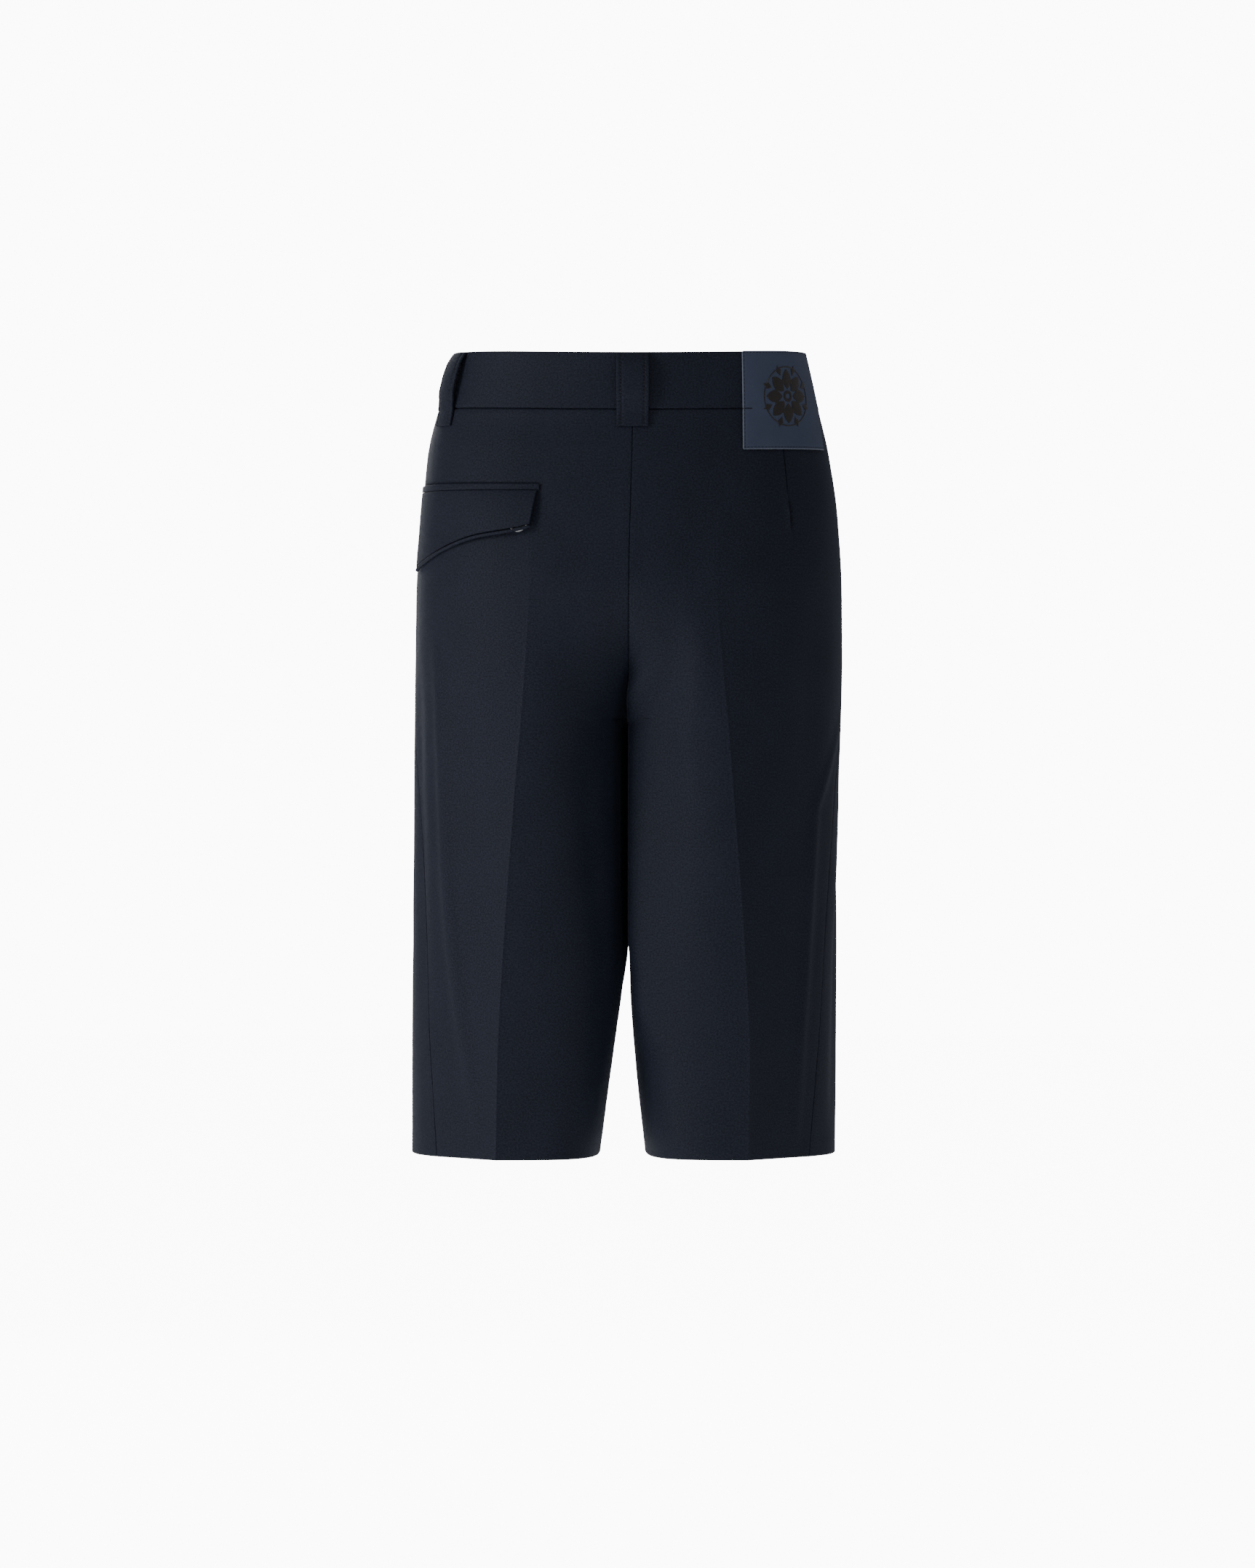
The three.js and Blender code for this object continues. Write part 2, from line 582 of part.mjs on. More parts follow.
function flapOut(distance, t) {
  const away = smoothstep(distance, FLAP_EDGE[0][0] + 12, FLAP_EDGE[0][0] + FLAP.innerReach);
  const edge = lerp(FLAP.innerOut, FLAP.edgeOut, away);
  return lerp(FLAP.topOut, edge, Math.sin(t * Math.PI / 2) ** 0.4);
}

function addPocket() {
  const half = HALVES.left;
  const weltAcross = evenly(WELT.from, WELT.to, 14);
  const weltLevels = [WELT.top, WELT.bottom];
  addOverlay("pocket_welt", half, weltLevels, () => weltAcross, () => SEAM_GAP, WELT.wall, NAVY_CLOTH);

  const inner = FLAP_EDGE[0][0];
  const across = evenly(inner, FLAP_EDGE.at(-1)[0], 18);
  // The flap is a little wider at its top, so its inner edge slants.
  const slanted = (distance, t) => {
    const share = (distance - inner) / (FLAP_EDGE.at(-1)[0] - inner);
    return distance + (FLAP.innerTop - inner) * (1 - share) * (1 - t);
  };
  const downwards = evenly(0, 1, 5);
  const flapPoint = (distance, t, depth) => {
    const level = lerp(FLAP.top, flapEdge(distance), t);
    return around(half, slanted(distance, t), level, flapOut(distance, t) + depth);
  };
  const flapGrid = (depth) => downwards.map((t) => across.map((distance) => flapPoint(distance, t, depth)));
  addWall("pocket_flap", flapGrid(FLAP.wall), flapGrid(0), half.sign > 0, NAVY_CLOTH);

  const bindingGrid = (depth) => [0, 0.5, 1].map((t) => across.map((distance) => {
    const level = flapEdge(distance) - SEAM_GAP - t * BINDING.height;
    const bulge = BINDING.proud * Math.sin(Math.PI * t) * Math.sign(depth || -1);
    return around(half, distance, level, flapOut(distance, 1) + depth + bulge);
  }));
  addWall("flap_binding", bindingGrid(FLAP.wall), bindingGrid(0), half.sign > 0, NAVY_CLOTH);
}

// A flat disc with holes and a slightly thicker rim, lying in the XY plane with its back at z = 0.
function buttonGeometry() {
  const outline = new THREE.Shape().absarc(0, 0, BUTTON.radius - 0.4, 0, Math.PI * 2);
  for (let i = 0; i < BUTTON.holes; i++) {
    const angle = ((i + 0.5) / BUTTON.holes) * Math.PI * 2;
    const hole = new THREE.Path();
    const across = BUTTON.holeRing * Math.cos(angle);
    const up = BUTTON.holeRing * Math.sin(angle);
    hole.absarc(across, up, BUTTON.holeRadius, 0, Math.PI * 2);
    outline.holes.push(hole);
  }
  return new THREE.ExtrudeGeometry(outline, {
    depth: BUTTON.thickness - 0.8,
    bevelThickness: 0.4,
    bevelSize: 0.4,
    bevelSegments: 1,
    curveSegments: 7,
  }).translate(0, 0, 0.4);
}

function addButton(name, half, distance, level, out) {
  const place = placeRound(half, distance, level);
  const position = onCloth(place.half, place.u, level, out);
  const facing = outward(place.half, place.u, level);
  const turn = new THREE.Quaternion().setFromUnitVectors(new THREE.Vector3(0, 0, 1), facing);
  const geometry = buttonGeometry().applyQuaternion(turn).translate(position.x, position.y, position.z);
  addMesh(name, geometry, DARK_HORN);
}

function addButtons() {
  addButton("pocket_button", HALVES.left, POCKET_BUTTON.from, POCKET_BUTTON.z, SEAM_GAP);
  const whole = distanceAlong(HALVES.right, 4, WAIST_BUTTON.z);
  const tabTop = BAND_PROUD + BAND_WALL + SEAM_GAP + SEAM_GAP;
  addButton("waist_button", HALVES.right, whole + WAIST_BUTTON.beyondCentre, WAIST_BUTTON.z, tabTop);
}

addPanels();
addWaistband();
addLoops();
addLabel();
addPocket();
addButtons();

export default shorts;
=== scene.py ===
# %% [markdown]
# # Knee-length shorts in navy wool twill, seen from the back
# The imported solids hold every size of these shorts. This lesson dresses them: each cut piece of cloth is
# made again as a fine wall on the same surface, with its seams, pressed creases and soft folds, and gets
# a woven finish. The solids stay underneath for collision.

# %% Load the imported solids
import math

import bmesh
import bpy
import numpy as np
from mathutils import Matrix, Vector, noise


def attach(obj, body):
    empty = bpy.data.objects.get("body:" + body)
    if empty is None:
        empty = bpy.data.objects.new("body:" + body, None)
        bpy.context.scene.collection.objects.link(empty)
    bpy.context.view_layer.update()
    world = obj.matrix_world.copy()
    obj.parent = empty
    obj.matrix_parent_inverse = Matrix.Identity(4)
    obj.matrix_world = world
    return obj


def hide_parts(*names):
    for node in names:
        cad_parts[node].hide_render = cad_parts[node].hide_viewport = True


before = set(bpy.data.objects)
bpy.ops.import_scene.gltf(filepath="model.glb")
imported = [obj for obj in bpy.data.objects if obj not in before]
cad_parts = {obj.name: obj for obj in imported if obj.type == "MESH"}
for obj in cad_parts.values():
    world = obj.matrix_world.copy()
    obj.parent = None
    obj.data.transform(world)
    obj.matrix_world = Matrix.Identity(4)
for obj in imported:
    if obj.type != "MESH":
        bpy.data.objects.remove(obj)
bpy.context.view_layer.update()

MM = 0.001

# %% [markdown]
# ## The camera
# The photograph looks straight at the back of the shorts from a few metres away, a little below their
# middle. A long lens from that far keeps the hems almost level, as in the picture, while the nearer
# creases still hang a few pixels lower than the sides.

# %% Camera
PHOTO_WIDTH = 1725
PHOTO_HEIGHT = 2156
MM_PER_PIXEL = 0.565
CAMERA_AWAY = 4.3
CAMERA_X = 0.0009
EYE_HEIGHT = -0.311

camera_data = bpy.data.cameras.new("photo_camera")
camera_data.sensor_fit = "VERTICAL"
camera_data.sensor_height = 36
camera_data.lens = 36 * CAMERA_AWAY / (PHOTO_HEIGHT * MM_PER_PIXEL * MM)
camera = bpy.data.objects.new("photo_camera", camera_data)
bpy.context.scene.collection.objects.link(camera)
camera.location = (CAMERA_X, CAMERA_AWAY, EYE_HEIGHT)
camera.rotation_euler = (math.radians(90), 0, math.radians(180))
bpy.context.scene.camera = camera
print("lens", round(camera_data.lens, 1), "mm for a frame", PHOTO_WIDTH, "by", PHOTO_HEIGHT)

# %% [markdown]
# ## The cut, as sections
# A tailor would draft flat panels, and the seams would shape them. Here the filled-out form is drafted
# instead: one row for each height gives the widest point, the creases and the centre seams, in
# millimetres and degrees. Smooth columns between the rows give a section at any height. The solids
# come from the same table, so nothing has to be fitted to them later.

# %% Section table
COLUMNS = (
    "z side_left side_right side_y crease_left crease_right back_y back_slope back_fold centre_back "
    "front_x front_y front_slope front_fold centre_front seam"
).split()
SECTIONS = [
    (26, 132.6, 133.6, -4, 68, 68, 83, 19, 0, 95, 66, -83, 19, 0, -94, 1),
    (-30, 148.8, 148.4, -2, 70, 70, 89.5, 17.6, 0, 101, 68, -88, 18, 0, -99, 1),
    (-60, 155.6, 155.4, 1, 72, 70, 98, 16, 0, 109, 70, -92, 15, 2, -102, 1),
    (-110, 160, 162.4, 4, 73, 67, 111, 13, 1, 119, 72, -96, 12, 5, -104, 1),
    (-165, 164.4, 165.2, 6, 75, 67, 119, 10, 5, 125, 75, -98, 9, 10, -105, 0.99),
    (-215, 165, 165.4, 6, 78, 70.5, 119, 7, 10, 124, 78, -99, 7, 14, -105, 0.96),
    (-262, 165.7, 164.6, 5, 81.5, 75, 117, 5, 16, 121, 82, -100, 5, 19, -104, 0.9),
    (-320, 166.3, 163, 4, 86.5, 79.5, 114, 4, 24, 117, 86, -100, 4, 25, -103, 0.78),
    (-420, 167.2, 162.2, 2, 94, 87, 108, 3, 35, 110, 92, -99, 3, 34, -101, 0.66),
    (-520, 168, 161.2, 0, 99.5, 92, 102, 2, 42, 104, 96, -98, 2, 40, -100, 0.58),
    (-597, 168, 160.4, -1, 101, 91, 99, 1, 46, 101, 97, -97, 1, 44, -99, 0.52),
]
WAIST_TOP = 17.3
WAIST_SEAM = -26
CROTCH = -262
HEM = -597
BACK_SEAM_BENDS = -150
FRONT_SEAM_BENDS = -172
INSEAM_Y = -4
SPREAD = 0.4
CROTCH_CORNER = 0.66
INNER_LEG = [(CROTCH, 0.6, 0.6), (-436, 0.6, 0.6), (-470, 5, 1.4), (-520, 12, 4.8), (HEM, 22.3, 13)]
HALVES = {"left": {"sign": 1, "corner": 0.88}, "right": {"sign": -1, "corner": 0.85}}
OTHER = {"left": "right", "right": "left"}
LEGS_PART = (-462, -425)
FOLD_OVER = {
    "from_y": 30, "to_x": 40, "over": 3.2, "apart": 0.6, "pull": 5,
    "top_fade": (-212, -246), "bottom_fade": (-540, -470),
}
print(len(SECTIONS), "sections from", SECTIONS[0][0], "to", SECTIONS[-1][0], "mm")


# %% Smooth columns
def clamp(value, low=0.0, high=1.0):
    return np.minimum(np.maximum(value, low), high)


def smooth_step(value, start, end):
    t = clamp((value - start) / (end - start))
    return t * t * (3 - 2 * t)


def column(rows, index):
    """A smooth value down one column of a table, with no overshoot between the rows."""
    table = np.array(sorted(rows), dtype=float)
    z, value = table[:, 0], table[:, index]
    step = np.diff(value) / np.diff(z)
    both = step[:-1] * step[1:]
    total = np.where(both > 0, step[:-1] + step[1:], 1)
    inside = np.where(both > 0, 2 * both / total, 0)
    slope = np.concatenate([step[:1], inside, step[-1:]])

    def at(level):
        height = clamp(level, z[0], z[-1])
        i = int(clamp(np.searchsorted(z, height, side="right") - 1, 0, len(z) - 2))
        span = z[i + 1] - z[i]
        t = (height - z[i]) / span
        mix = value[i] + (value[i + 1] - value[i]) * t * t * (3 - 2 * t)
        return float(mix + span * (slope[i] * t * (1 - t) ** 2 - slope[i + 1] * t * t * (1 - t)))

    return at


section = {name: column(SECTIONS, i) for i, name in enumerate(COLUMNS) if i}
inner_leg = {"left": column(INNER_LEG, 1), "right": column(INNER_LEG, 2)}
print("hip half width at -165 mm:", section["side_left"](-165))

# %% [markdown]
# ## From sections to rings
# A half ring runs from the centre back, or from the inseam below the crotch, round the side to the
# centre front. Four curves make it: two on the inner side and two round the outer side, and they meet
# at the pressed creases, where the cloth may turn a corner. Above the crotch the two legs would run
# into each other, so each inner curve is cut at the centre: that cut is the seat seam. On the right
# leg the back folds over sharply into the inner side, so that curve's corner is drawn out towards the
# other leg, and no light shows between the thighs.

# %% Rings
CURVE_STEPS = 320
T = np.linspace(0, 1, CURVE_STEPS + 1)[:, None]


def bezier(p0, p1, p2, p3, t=T):
    return (1 - t) ** 3 * p0 + 3 * (1 - t) ** 2 * t * p1 + 3 * (1 - t) * t**2 * p2 + t**3 * p3


def beyond_centre(controls):
    """The part of a curve that lies beyond the plane between the halves."""
    x = bezier(*controls)[:, 0]
    t = float(np.interp(0.0, x, T[:, 0]))
    a, b, c = (p + (q - p) * t for p, q in zip(controls, controls[1:]))
    d, e = a + (b - a) * t, b + (c - b) * t
    return [d + (e - d) * t, e, c, controls[3]]


def inner_curve(half, z, crease, slope, centre_y, bends, facing):
    corner = CROTCH_CORNER + (HALVES[half]["corner"] - CROTCH_CORNER) * (1 - smooth_step(z, HEM, CROTCH))
    start = np.array([inner_leg[half](z) if z < CROTCH else -SPREAD * (z - CROTCH), INSEAM_Y])
    reach = corner * abs(crease[1] - start[1])
    lead = corner * 0.92 * (crease[0] - max(start[0], 0))
    along = np.array([math.cos(slope), -facing * math.sin(slope)])
    leg = [start, start + [0, facing * reach], crease - along * lead, crease]
    if z < CROTCH:
        return bezier(*leg)
    centre = np.array([0.0, centre_y])
    flat = 0.36 * crease[0]
    seat = [centre, centre + [flat, 0], crease - along * flat, crease]
    mix = smooth_step(z, CROTCH, bends)
    return bezier(*[p + (q - p) * mix for p, q in zip(beyond_centre(leg), seat)])


def folded_over(curve, z):
    """On the right leg the back folds over sharply into the inner side, so its corner is drawn out."""
    share = smooth_step(z, *FOLD_OVER["top_fade"]) * smooth_step(z, *FOLD_OVER["bottom_fade"])
    if share == 0:
        return curve
    first = int(np.argmax(curve[:, 1] >= FOLD_OVER["from_y"]))
    last = int(np.argmax(curve[:, 0] >= FOLD_OVER["to_x"]))
    a, b = curve[first], curve[last]
    run = curve[last + 2] - curve[last - 2]
    slope = run[1] / run[0]
    touching = smooth_step(z, *LEGS_PART)
    x = curve[0, 0] + FOLD_OVER["apart"] - (FOLD_OVER["apart"] + FOLD_OVER["over"]) * touching
    tip = np.array([x, b[1] + slope * (x - b[0])])
    steps = np.linalg.norm(np.diff(curve[first : last + 1], axis=0), axis=1)
    along = np.concatenate([[0], np.cumsum(steps)])
    t = (along / along[-1])[:, None]
    pull = 2 * FOLD_OVER["pull"] * t * (1 - t)
    drawn = ((1 - t) ** 2 * a + pull * tip + t**2 * b) / ((1 - t) ** 2 + pull + t**2)
    changed = curve.copy()
    changed[first : last + 1] += (drawn - changed[first : last + 1]) * share
    return changed


def outer_curve(crease, side, turn, facing):
    reach = 0.4 * np.linalg.norm(side - crease)
    leave = np.array([math.cos(turn), -facing * math.sin(turn)]) * reach
    return bezier(crease, crease + leave, side + [0, facing * reach], side)


class Ring:
    """Half a ring at one height, measured along from the centre back or inseam."""

    def __init__(self, half, z):
        now = {name: value(z) for name, value in section.items()}
        back = np.array([now["crease_" + half], now["back_y"]])
        front = np.array([now["front_x"], now["front_y"]])
        self.side = now["side_" + half]
        side = np.array([self.side, now["side_y"]])
        back_turn, front_turn = math.radians(now["back_slope"]), math.radians(now["front_slope"])
        curves = [
            inner_curve(half, z, back, back_turn, now["centre_back"], BACK_SEAM_BENDS, 1),
            outer_curve(back, side, back_turn + math.radians(now["back_fold"]), 1),
            outer_curve(front, side, front_turn + math.radians(now["front_fold"]), -1)[::-1],
            inner_curve(half, z, front, front_turn, now["centre_front"], FRONT_SEAM_BENDS, -1)[::-1],
        ]
        if half == "right":
            curves[0] = folded_over(curves[0], z)
        self.xy = np.concatenate([curves[0]] + [curve[1:] for curve in curves[1:]])
        steps = np.linalg.norm(np.diff(self.xy, axis=0), axis=1)
        self.along = np.concatenate([[0], np.cumsum(steps)])
        self.stops = self.along[::CURVE_STEPS]
        self.whole = self.along[-1]

    def at(self, distance):
        return np.interp(distance, self.along, self.xy[:, 0]), np.interp(distance, self.along, self.xy[:, 1])

    def distance(self, place):
        """How far along a place is: 1 is the back crease, 2 the widest point, 3 the front crease."""
        return float(np.interp(place, range(5), self.stops))


rings = {}


def ring(half, level):
    key = (half, round(float(level), 4))
    if key not in rings:
        rings[key] = Ring(half, float(level))
    return rings[key]


print("girth at the hips:", round(2 * ring("left", -165).whole), "mm")

# %% [markdown]
# ## Places on the cloth
# Every piece below is drawn on this surface by two numbers, as on a flat pattern: a distance from the
# centre back and a height. The waist runs a little higher at the sides and lower in front, and the
# seat seam leans towards the right at the waist, as the photograph shows.

# %% From pattern places to points
SIDE_RISE = 5
FRONT_DROP = 9
RISE_ENDS = -200
BACK_LEAN = -3
LEAN_ENDS = -165


def ring_points(half, level, distance):
    """Points at one height. Distances below 0, or past the centre front, fall on the other half."""
    own, other = ring(half, level), ring(OTHER[half], level)
    x, y = own.at(clamp(distance, 0, own.whole))
    sign = np.full(distance.shape, float(HALVES[half]["sign"]))
    side = np.full(distance.shape, own.side)
    past = distance - own.whole
    for elsewhere, there in ((distance < 0, -distance), (past > 0.001, other.whole - past)):
        x2, y2 = other.at(there)
        x, y = np.where(elsewhere, x2, x), np.where(elsewhere, y2, y)
        sign, side = np.where(elsewhere, -sign, sign), np.where(elsewhere, other.side, side)
    across = clamp(x / side)
    forward = clamp(y / section["centre_front"](level))
    rise = (SIDE_RISE * across**2 - FRONT_DROP * forward**2) * smooth_step(level, RISE_ENDS, WAIST_SEAM)
    lean = BACK_LEAN * smooth_step(level, LEAN_ENDS, WAIST_SEAM) * (1 - across**2)
    return np.stack([sign * x + lean, y, level + rise], axis=-1)


def wide_steps(levels, reach=1.2):
    """For each row, the nearest rows that lie far enough above and below it to give a true slope."""
    last = len(levels) - 1
    above = [max(np.flatnonzero(levels >= z + reach), default=0) for z in levels]
    below = [min(np.flatnonzero(levels <= z - reach), default=last) for z in levels]
    return np.array(above), np.array(below)


def surface(half, levels, distances):
    """Points and outward directions for a grid of places: rows run down, columns away from the back."""
    levels, distances = np.broadcast_arrays(np.round(levels, 2), distances)
    points = np.empty(distances.shape + (3,))
    for level in np.unique(levels):
        here = levels == level
        points[here] = ring_points(half, level, distances[here])
    above, below = wide_steps(levels[:, 0])
    outward = np.cross(np.gradient(points, axis=1), points[below] - points[above]) * HALVES[half]["sign"]
    return points, outward / np.linalg.norm(outward, axis=-1, keepdims=True)


sample_point, sample_way = surface("left", np.array([[-100.0], [-104.0]]), np.array([[50.0, 52.0]]))
print("a place on the left back:", sample_point[0, 0].round(1), "facing", sample_way[0, 0].round(2))

# %% [markdown]
# ## A wall of cloth
# Cloth has two faces and an edge. Solidify would do, but then the hem, the seam edges and the folds
# could not have their own thickness, so one helper closes an outer and an inner grid into a wall. Its
# UV map is the flat pattern in metres, so that the weave keeps its size and runs on round the body.


def close_wall(name, outer, inner, flat, sign):
    rows, columns = outer.shape[:2]
    front = np.arange(rows * columns).reshape(rows, columns)
    back = front + rows * columns

    def strip(a, b):
        return np.stack([a[:-1], a[1:], b[1:], b[:-1]], axis=-1)

    faces = [
        np.stack([front[:-1, :-1], front[1:, :-1], front[1:, 1:], front[:-1, 1:]], axis=-1).reshape(-1, 4),
        np.stack([back[:-1, :-1], back[:-1, 1:], back[1:, 1:], back[1:, :-1]], axis=-1).reshape(-1, 4),
        strip(back[:, 0], front[:, 0]),
        strip(front[:, -1], back[:, -1]),
        strip(front[0], back[0]),
        strip(back[-1], front[-1]),
    ]
    faces = np.concatenate(faces)
    if sign > 0:
        faces = faces[:, ::-1]
    points = np.concatenate([outer.reshape(-1, 3), inner.reshape(-1, 3)]) * MM
    mesh = bpy.data.meshes.new(name)
    mesh.from_pydata(points.tolist(), [], faces.tolist())
    layer = mesh.uv_layers.new(name="pattern")
    chart = np.concatenate([flat.reshape(-1, 2), flat.reshape(-1, 2)]) * MM
    layer.data.foreach_set("uv", chart[faces.reshape(-1)].reshape(-1))
    return mesh


def add_piece(name, mesh, material, replaces=()):
    """A finished piece: smooth, sharp only at real edges, and riding on the one body."""
    mesh.materials.clear()
    mesh.materials.append(material)
    mesh.shade_smooth()
    mesh.set_sharp_from_angle(angle=math.radians(48))
    piece = bpy.data.objects.new(name, mesh)
    bpy.context.scene.collection.objects.link(piece)
    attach(piece, "root")
    if replaces:
        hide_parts(*replaces)
    return piece


def pattern_chart(half, levels, distances):
    """The flat pattern's coordinates, with the weave running the same way on both halves."""
    levels, distances = np.broadcast_arrays(levels, distances)
    return np.stack([-HALVES[half]["sign"] * distances, levels], axis=-1)


def rolled(away, radius):
    """How far a rounded edge has dropped, at a distance from the edge."""
    inside = clamp(radius - away, 0, radius)
    return radius - np.sqrt(radius**2 - inside**2)


class Face:
    """The outer face of a finished piece: it tells where any place of the pattern has ended up."""

    def __init__(self, levels, distances, points, outward):
        self.levels = np.asarray(levels, dtype=float)
        self.distances = np.broadcast_to(distances, points.shape[:2])
        self.grid = np.concatenate([points, outward], axis=-1)

    def at(self, distances, levels, out=0.0):
        """Points and outward directions for any arrays of distances and levels."""
        distances, levels, out = np.broadcast_arrays(distances, levels, out)
        count, across = self.distances.shape
        found = np.empty((distances.size, 6))
        rows = np.interp(-levels.ravel(), -self.levels, np.arange(count))
        for n, (distance, row) in enumerate(zip(distances.ravel(), rows)):
            i = min(int(row), count - 2)
            mixed = []
            for j in (i, i + 1):
                column = float(np.interp(distance, self.distances[j], np.arange(across)))
                k = min(int(column), across - 2)
                mixed.append(self.grid[j, k] + (column - k) * (self.grid[j, k + 1] - self.grid[j, k]))
            found[n] = mixed[0] + (row - i) * (mixed[1] - mixed[0])
        outward = found[:, 3:] / np.linalg.norm(found[:, 3:], axis=1, keepdims=True)
        points = found[:, :3] + outward * out.reshape(-1, 1)
        return points.reshape(distances.shape + (3,)), outward.reshape(distances.shape + (3,))


print("an edge of 1 mm radius drops", rolled(np.array([0.0, 0.5]), 1.0).round(2), "mm")

# %% [markdown]
# ## The woven finish
# Fine wool suiting has a steep twill, too small to see from afar, a slightly uneven navy, and a soft
# sheen where it turns away. The weave could be an image, but a small node group keeps its size in real
# millimetres on every piece: two waves cross on the flat pattern, and noise makes the yarn uneven.

# %% Shader helpers
def socket(tree, name, kind, into, default=None):
    made = tree.interface.new_socket(name=name, in_out="INPUT" if into else "OUTPUT", socket_type=kind)
    if default is not None:
        made.default_value = default
    return made


def node(tree, kind, inputs=(), **settings):
    made = tree.nodes.new(kind)
    for key, value in settings.items():
        setattr(made, key, value)
    for key, value in dict(inputs).items():
        if isinstance(value, bpy.types.NodeSocket):
            tree.links.new(value, made.inputs[key])
        else:
            made.inputs[key].default_value = value
    return made


def maths(tree, operation, a, b=0.0, c=0.0):
    return node(tree, "ShaderNodeMath", {0: a, 1: b, 2: c}, operation=operation).outputs[0]


def new_material(name):
    """A fresh material, its node tree and its shader."""
    material = bpy.data.materials.new(name)
    material.use_nodes = True
    return material, material.node_tree, material.node_tree.nodes["Principled BSDF"]


def noise_node(tree, place, scale, detail, **more):
    inputs = {"Vector": place, "Scale": scale, "Detail": detail, **more}
    return node(tree, "ShaderNodeTexNoise", inputs).outputs[0]


def between(tree, share, dark, light, **settings):
    """A colour on the way from a dark one to a light one."""
    ends = {0: share, 6: (*dark, 1), 7: (*light, 1)}
    return node(tree, "ShaderNodeMix", ends, data_type="RGBA", **settings).outputs[2]


def bump_into(tree, shader, height, strength, distance):
    inputs = {"Height": height, "Strength": strength, "Distance": distance}
    tree.links.new(node(tree, "ShaderNodeBump", inputs).outputs[0], shader.inputs["Normal"])


print("shader helpers made for", bpy.app.version_string)


# %% Weave group
weave = bpy.data.node_groups.new("weave", "ShaderNodeTree")
socket(weave, "Pattern", "NodeSocketVector", True)
socket(weave, "Yarns per mm", "NodeSocketFloat", True, 1.5)
socket(weave, "Unevenness", "NodeSocketFloat", True, 0.5)
socket(weave, "Shade", "NodeSocketFloat", False)
socket(weave, "Height", "NodeSocketFloat", False)
entry = weave.nodes.new("NodeGroupInput")
leave = weave.nodes.new("NodeGroupOutput")
split = node(weave, "ShaderNodeSeparateXYZ", {0: entry.outputs["Pattern"]})
wave = maths(weave, "MULTIPLY", entry.outputs["Yarns per mm"], 2 * math.pi / MM)
slow = noise_node(weave, entry.outputs["Pattern"], 70.0, 3.0)
bend = maths(weave, "MULTIPLY_ADD", slow, 0.0009, split.outputs["X"])
rise = maths(weave, "MULTIPLY", split.outputs["Y"], 0.62)
twill = maths(weave, "SINE", maths(weave, "MULTIPLY", maths(weave, "SUBTRACT", bend, rise), wave))
cross = maths(weave, "ADD", maths(weave, "MULTIPLY", bend, 0.55), split.outputs["Y"])
beads = maths(weave, "SINE", maths(weave, "MULTIPLY", cross, wave))
yarn = noise_node(weave, entry.outputs["Pattern"], 760.0, 2.0)
ribs = maths(weave, "MULTIPLY_ADD", beads, 0.35, twill)
uneven = maths(weave, "MULTIPLY", maths(weave, "SUBTRACT", yarn, 0.5), entry.outputs["Unevenness"])
height = maths(weave, "MULTIPLY_ADD", ribs, 0.3, maths(weave, "ADD", uneven, 0.5))
weave.links.new(height, leave.inputs["Height"])
ribbed = maths(weave, "MULTIPLY_ADD", ribs, 0.14, 0.5)
weave.links.new(maths(weave, "MULTIPLY_ADD", uneven, 3.0, ribbed), leave.inputs["Shade"])
print("weave group:", len(weave.nodes), "nodes")


# %% Cloth material
YARNS_PER_MM = 1.25


def cloth_material(name, dark, light):
    material, tree, shader = new_material(name)
    chart = node(tree, "ShaderNodeUVMap", uv_map="pattern").outputs[0]
    group = node(tree, "ShaderNodeGroup", node_tree=weave)
    tree.links.new(chart, group.inputs["Pattern"])
    group.inputs["Yarns per mm"].default_value = YARNS_PER_MM
    group.inputs["Unevenness"].default_value = 1.0
    cloud = noise_node(tree, chart, 22.0, 4.0, Roughness=0.6)
    patchy = maths(tree, "SUBTRACT", cloud, 0.5)
    tone = maths(tree, "MULTIPLY_ADD", patchy, 0.7, group.outputs["Shade"])
    colour = between(tree, tone, dark, light, clamp_factor=True)
    tree.links.new(colour, shader.inputs["Base Color"])
    tree.links.new(maths(tree, "MULTIPLY_ADD", cloud, 0.12, 0.6), shader.inputs["Roughness"])
    bump_into(tree, shader, group.outputs["Height"], 0.35, 0.00012)
    shader.inputs["Specular IOR Level"].default_value = 0.2
    shader.inputs["Sheen Weight"].default_value = 0.08
    shader.inputs["Sheen Roughness"].default_value = 0.42
    shader.inputs["Sheen Tint"].default_value = (0.45, 0.55, 0.8, 1)
    return material


navy_wool = cloth_material("navy_wool_twill", (0.0085, 0.0112, 0.0212), (0.0218, 0.0262, 0.0462))
print("cloth material:", navy_wool.name)

# %% [markdown]
# ## The leg panels
# Four panels are cut: two backs and two fronts. Each is laid on its part of the rings, with closer rows
# and columns beside the seams and the pressed creases, because that is where cloth turns quickly. Long
# soft folds come from a short table: a path over the panel, a width and a height. Fine noise on top
# keeps the surface from looking machined.

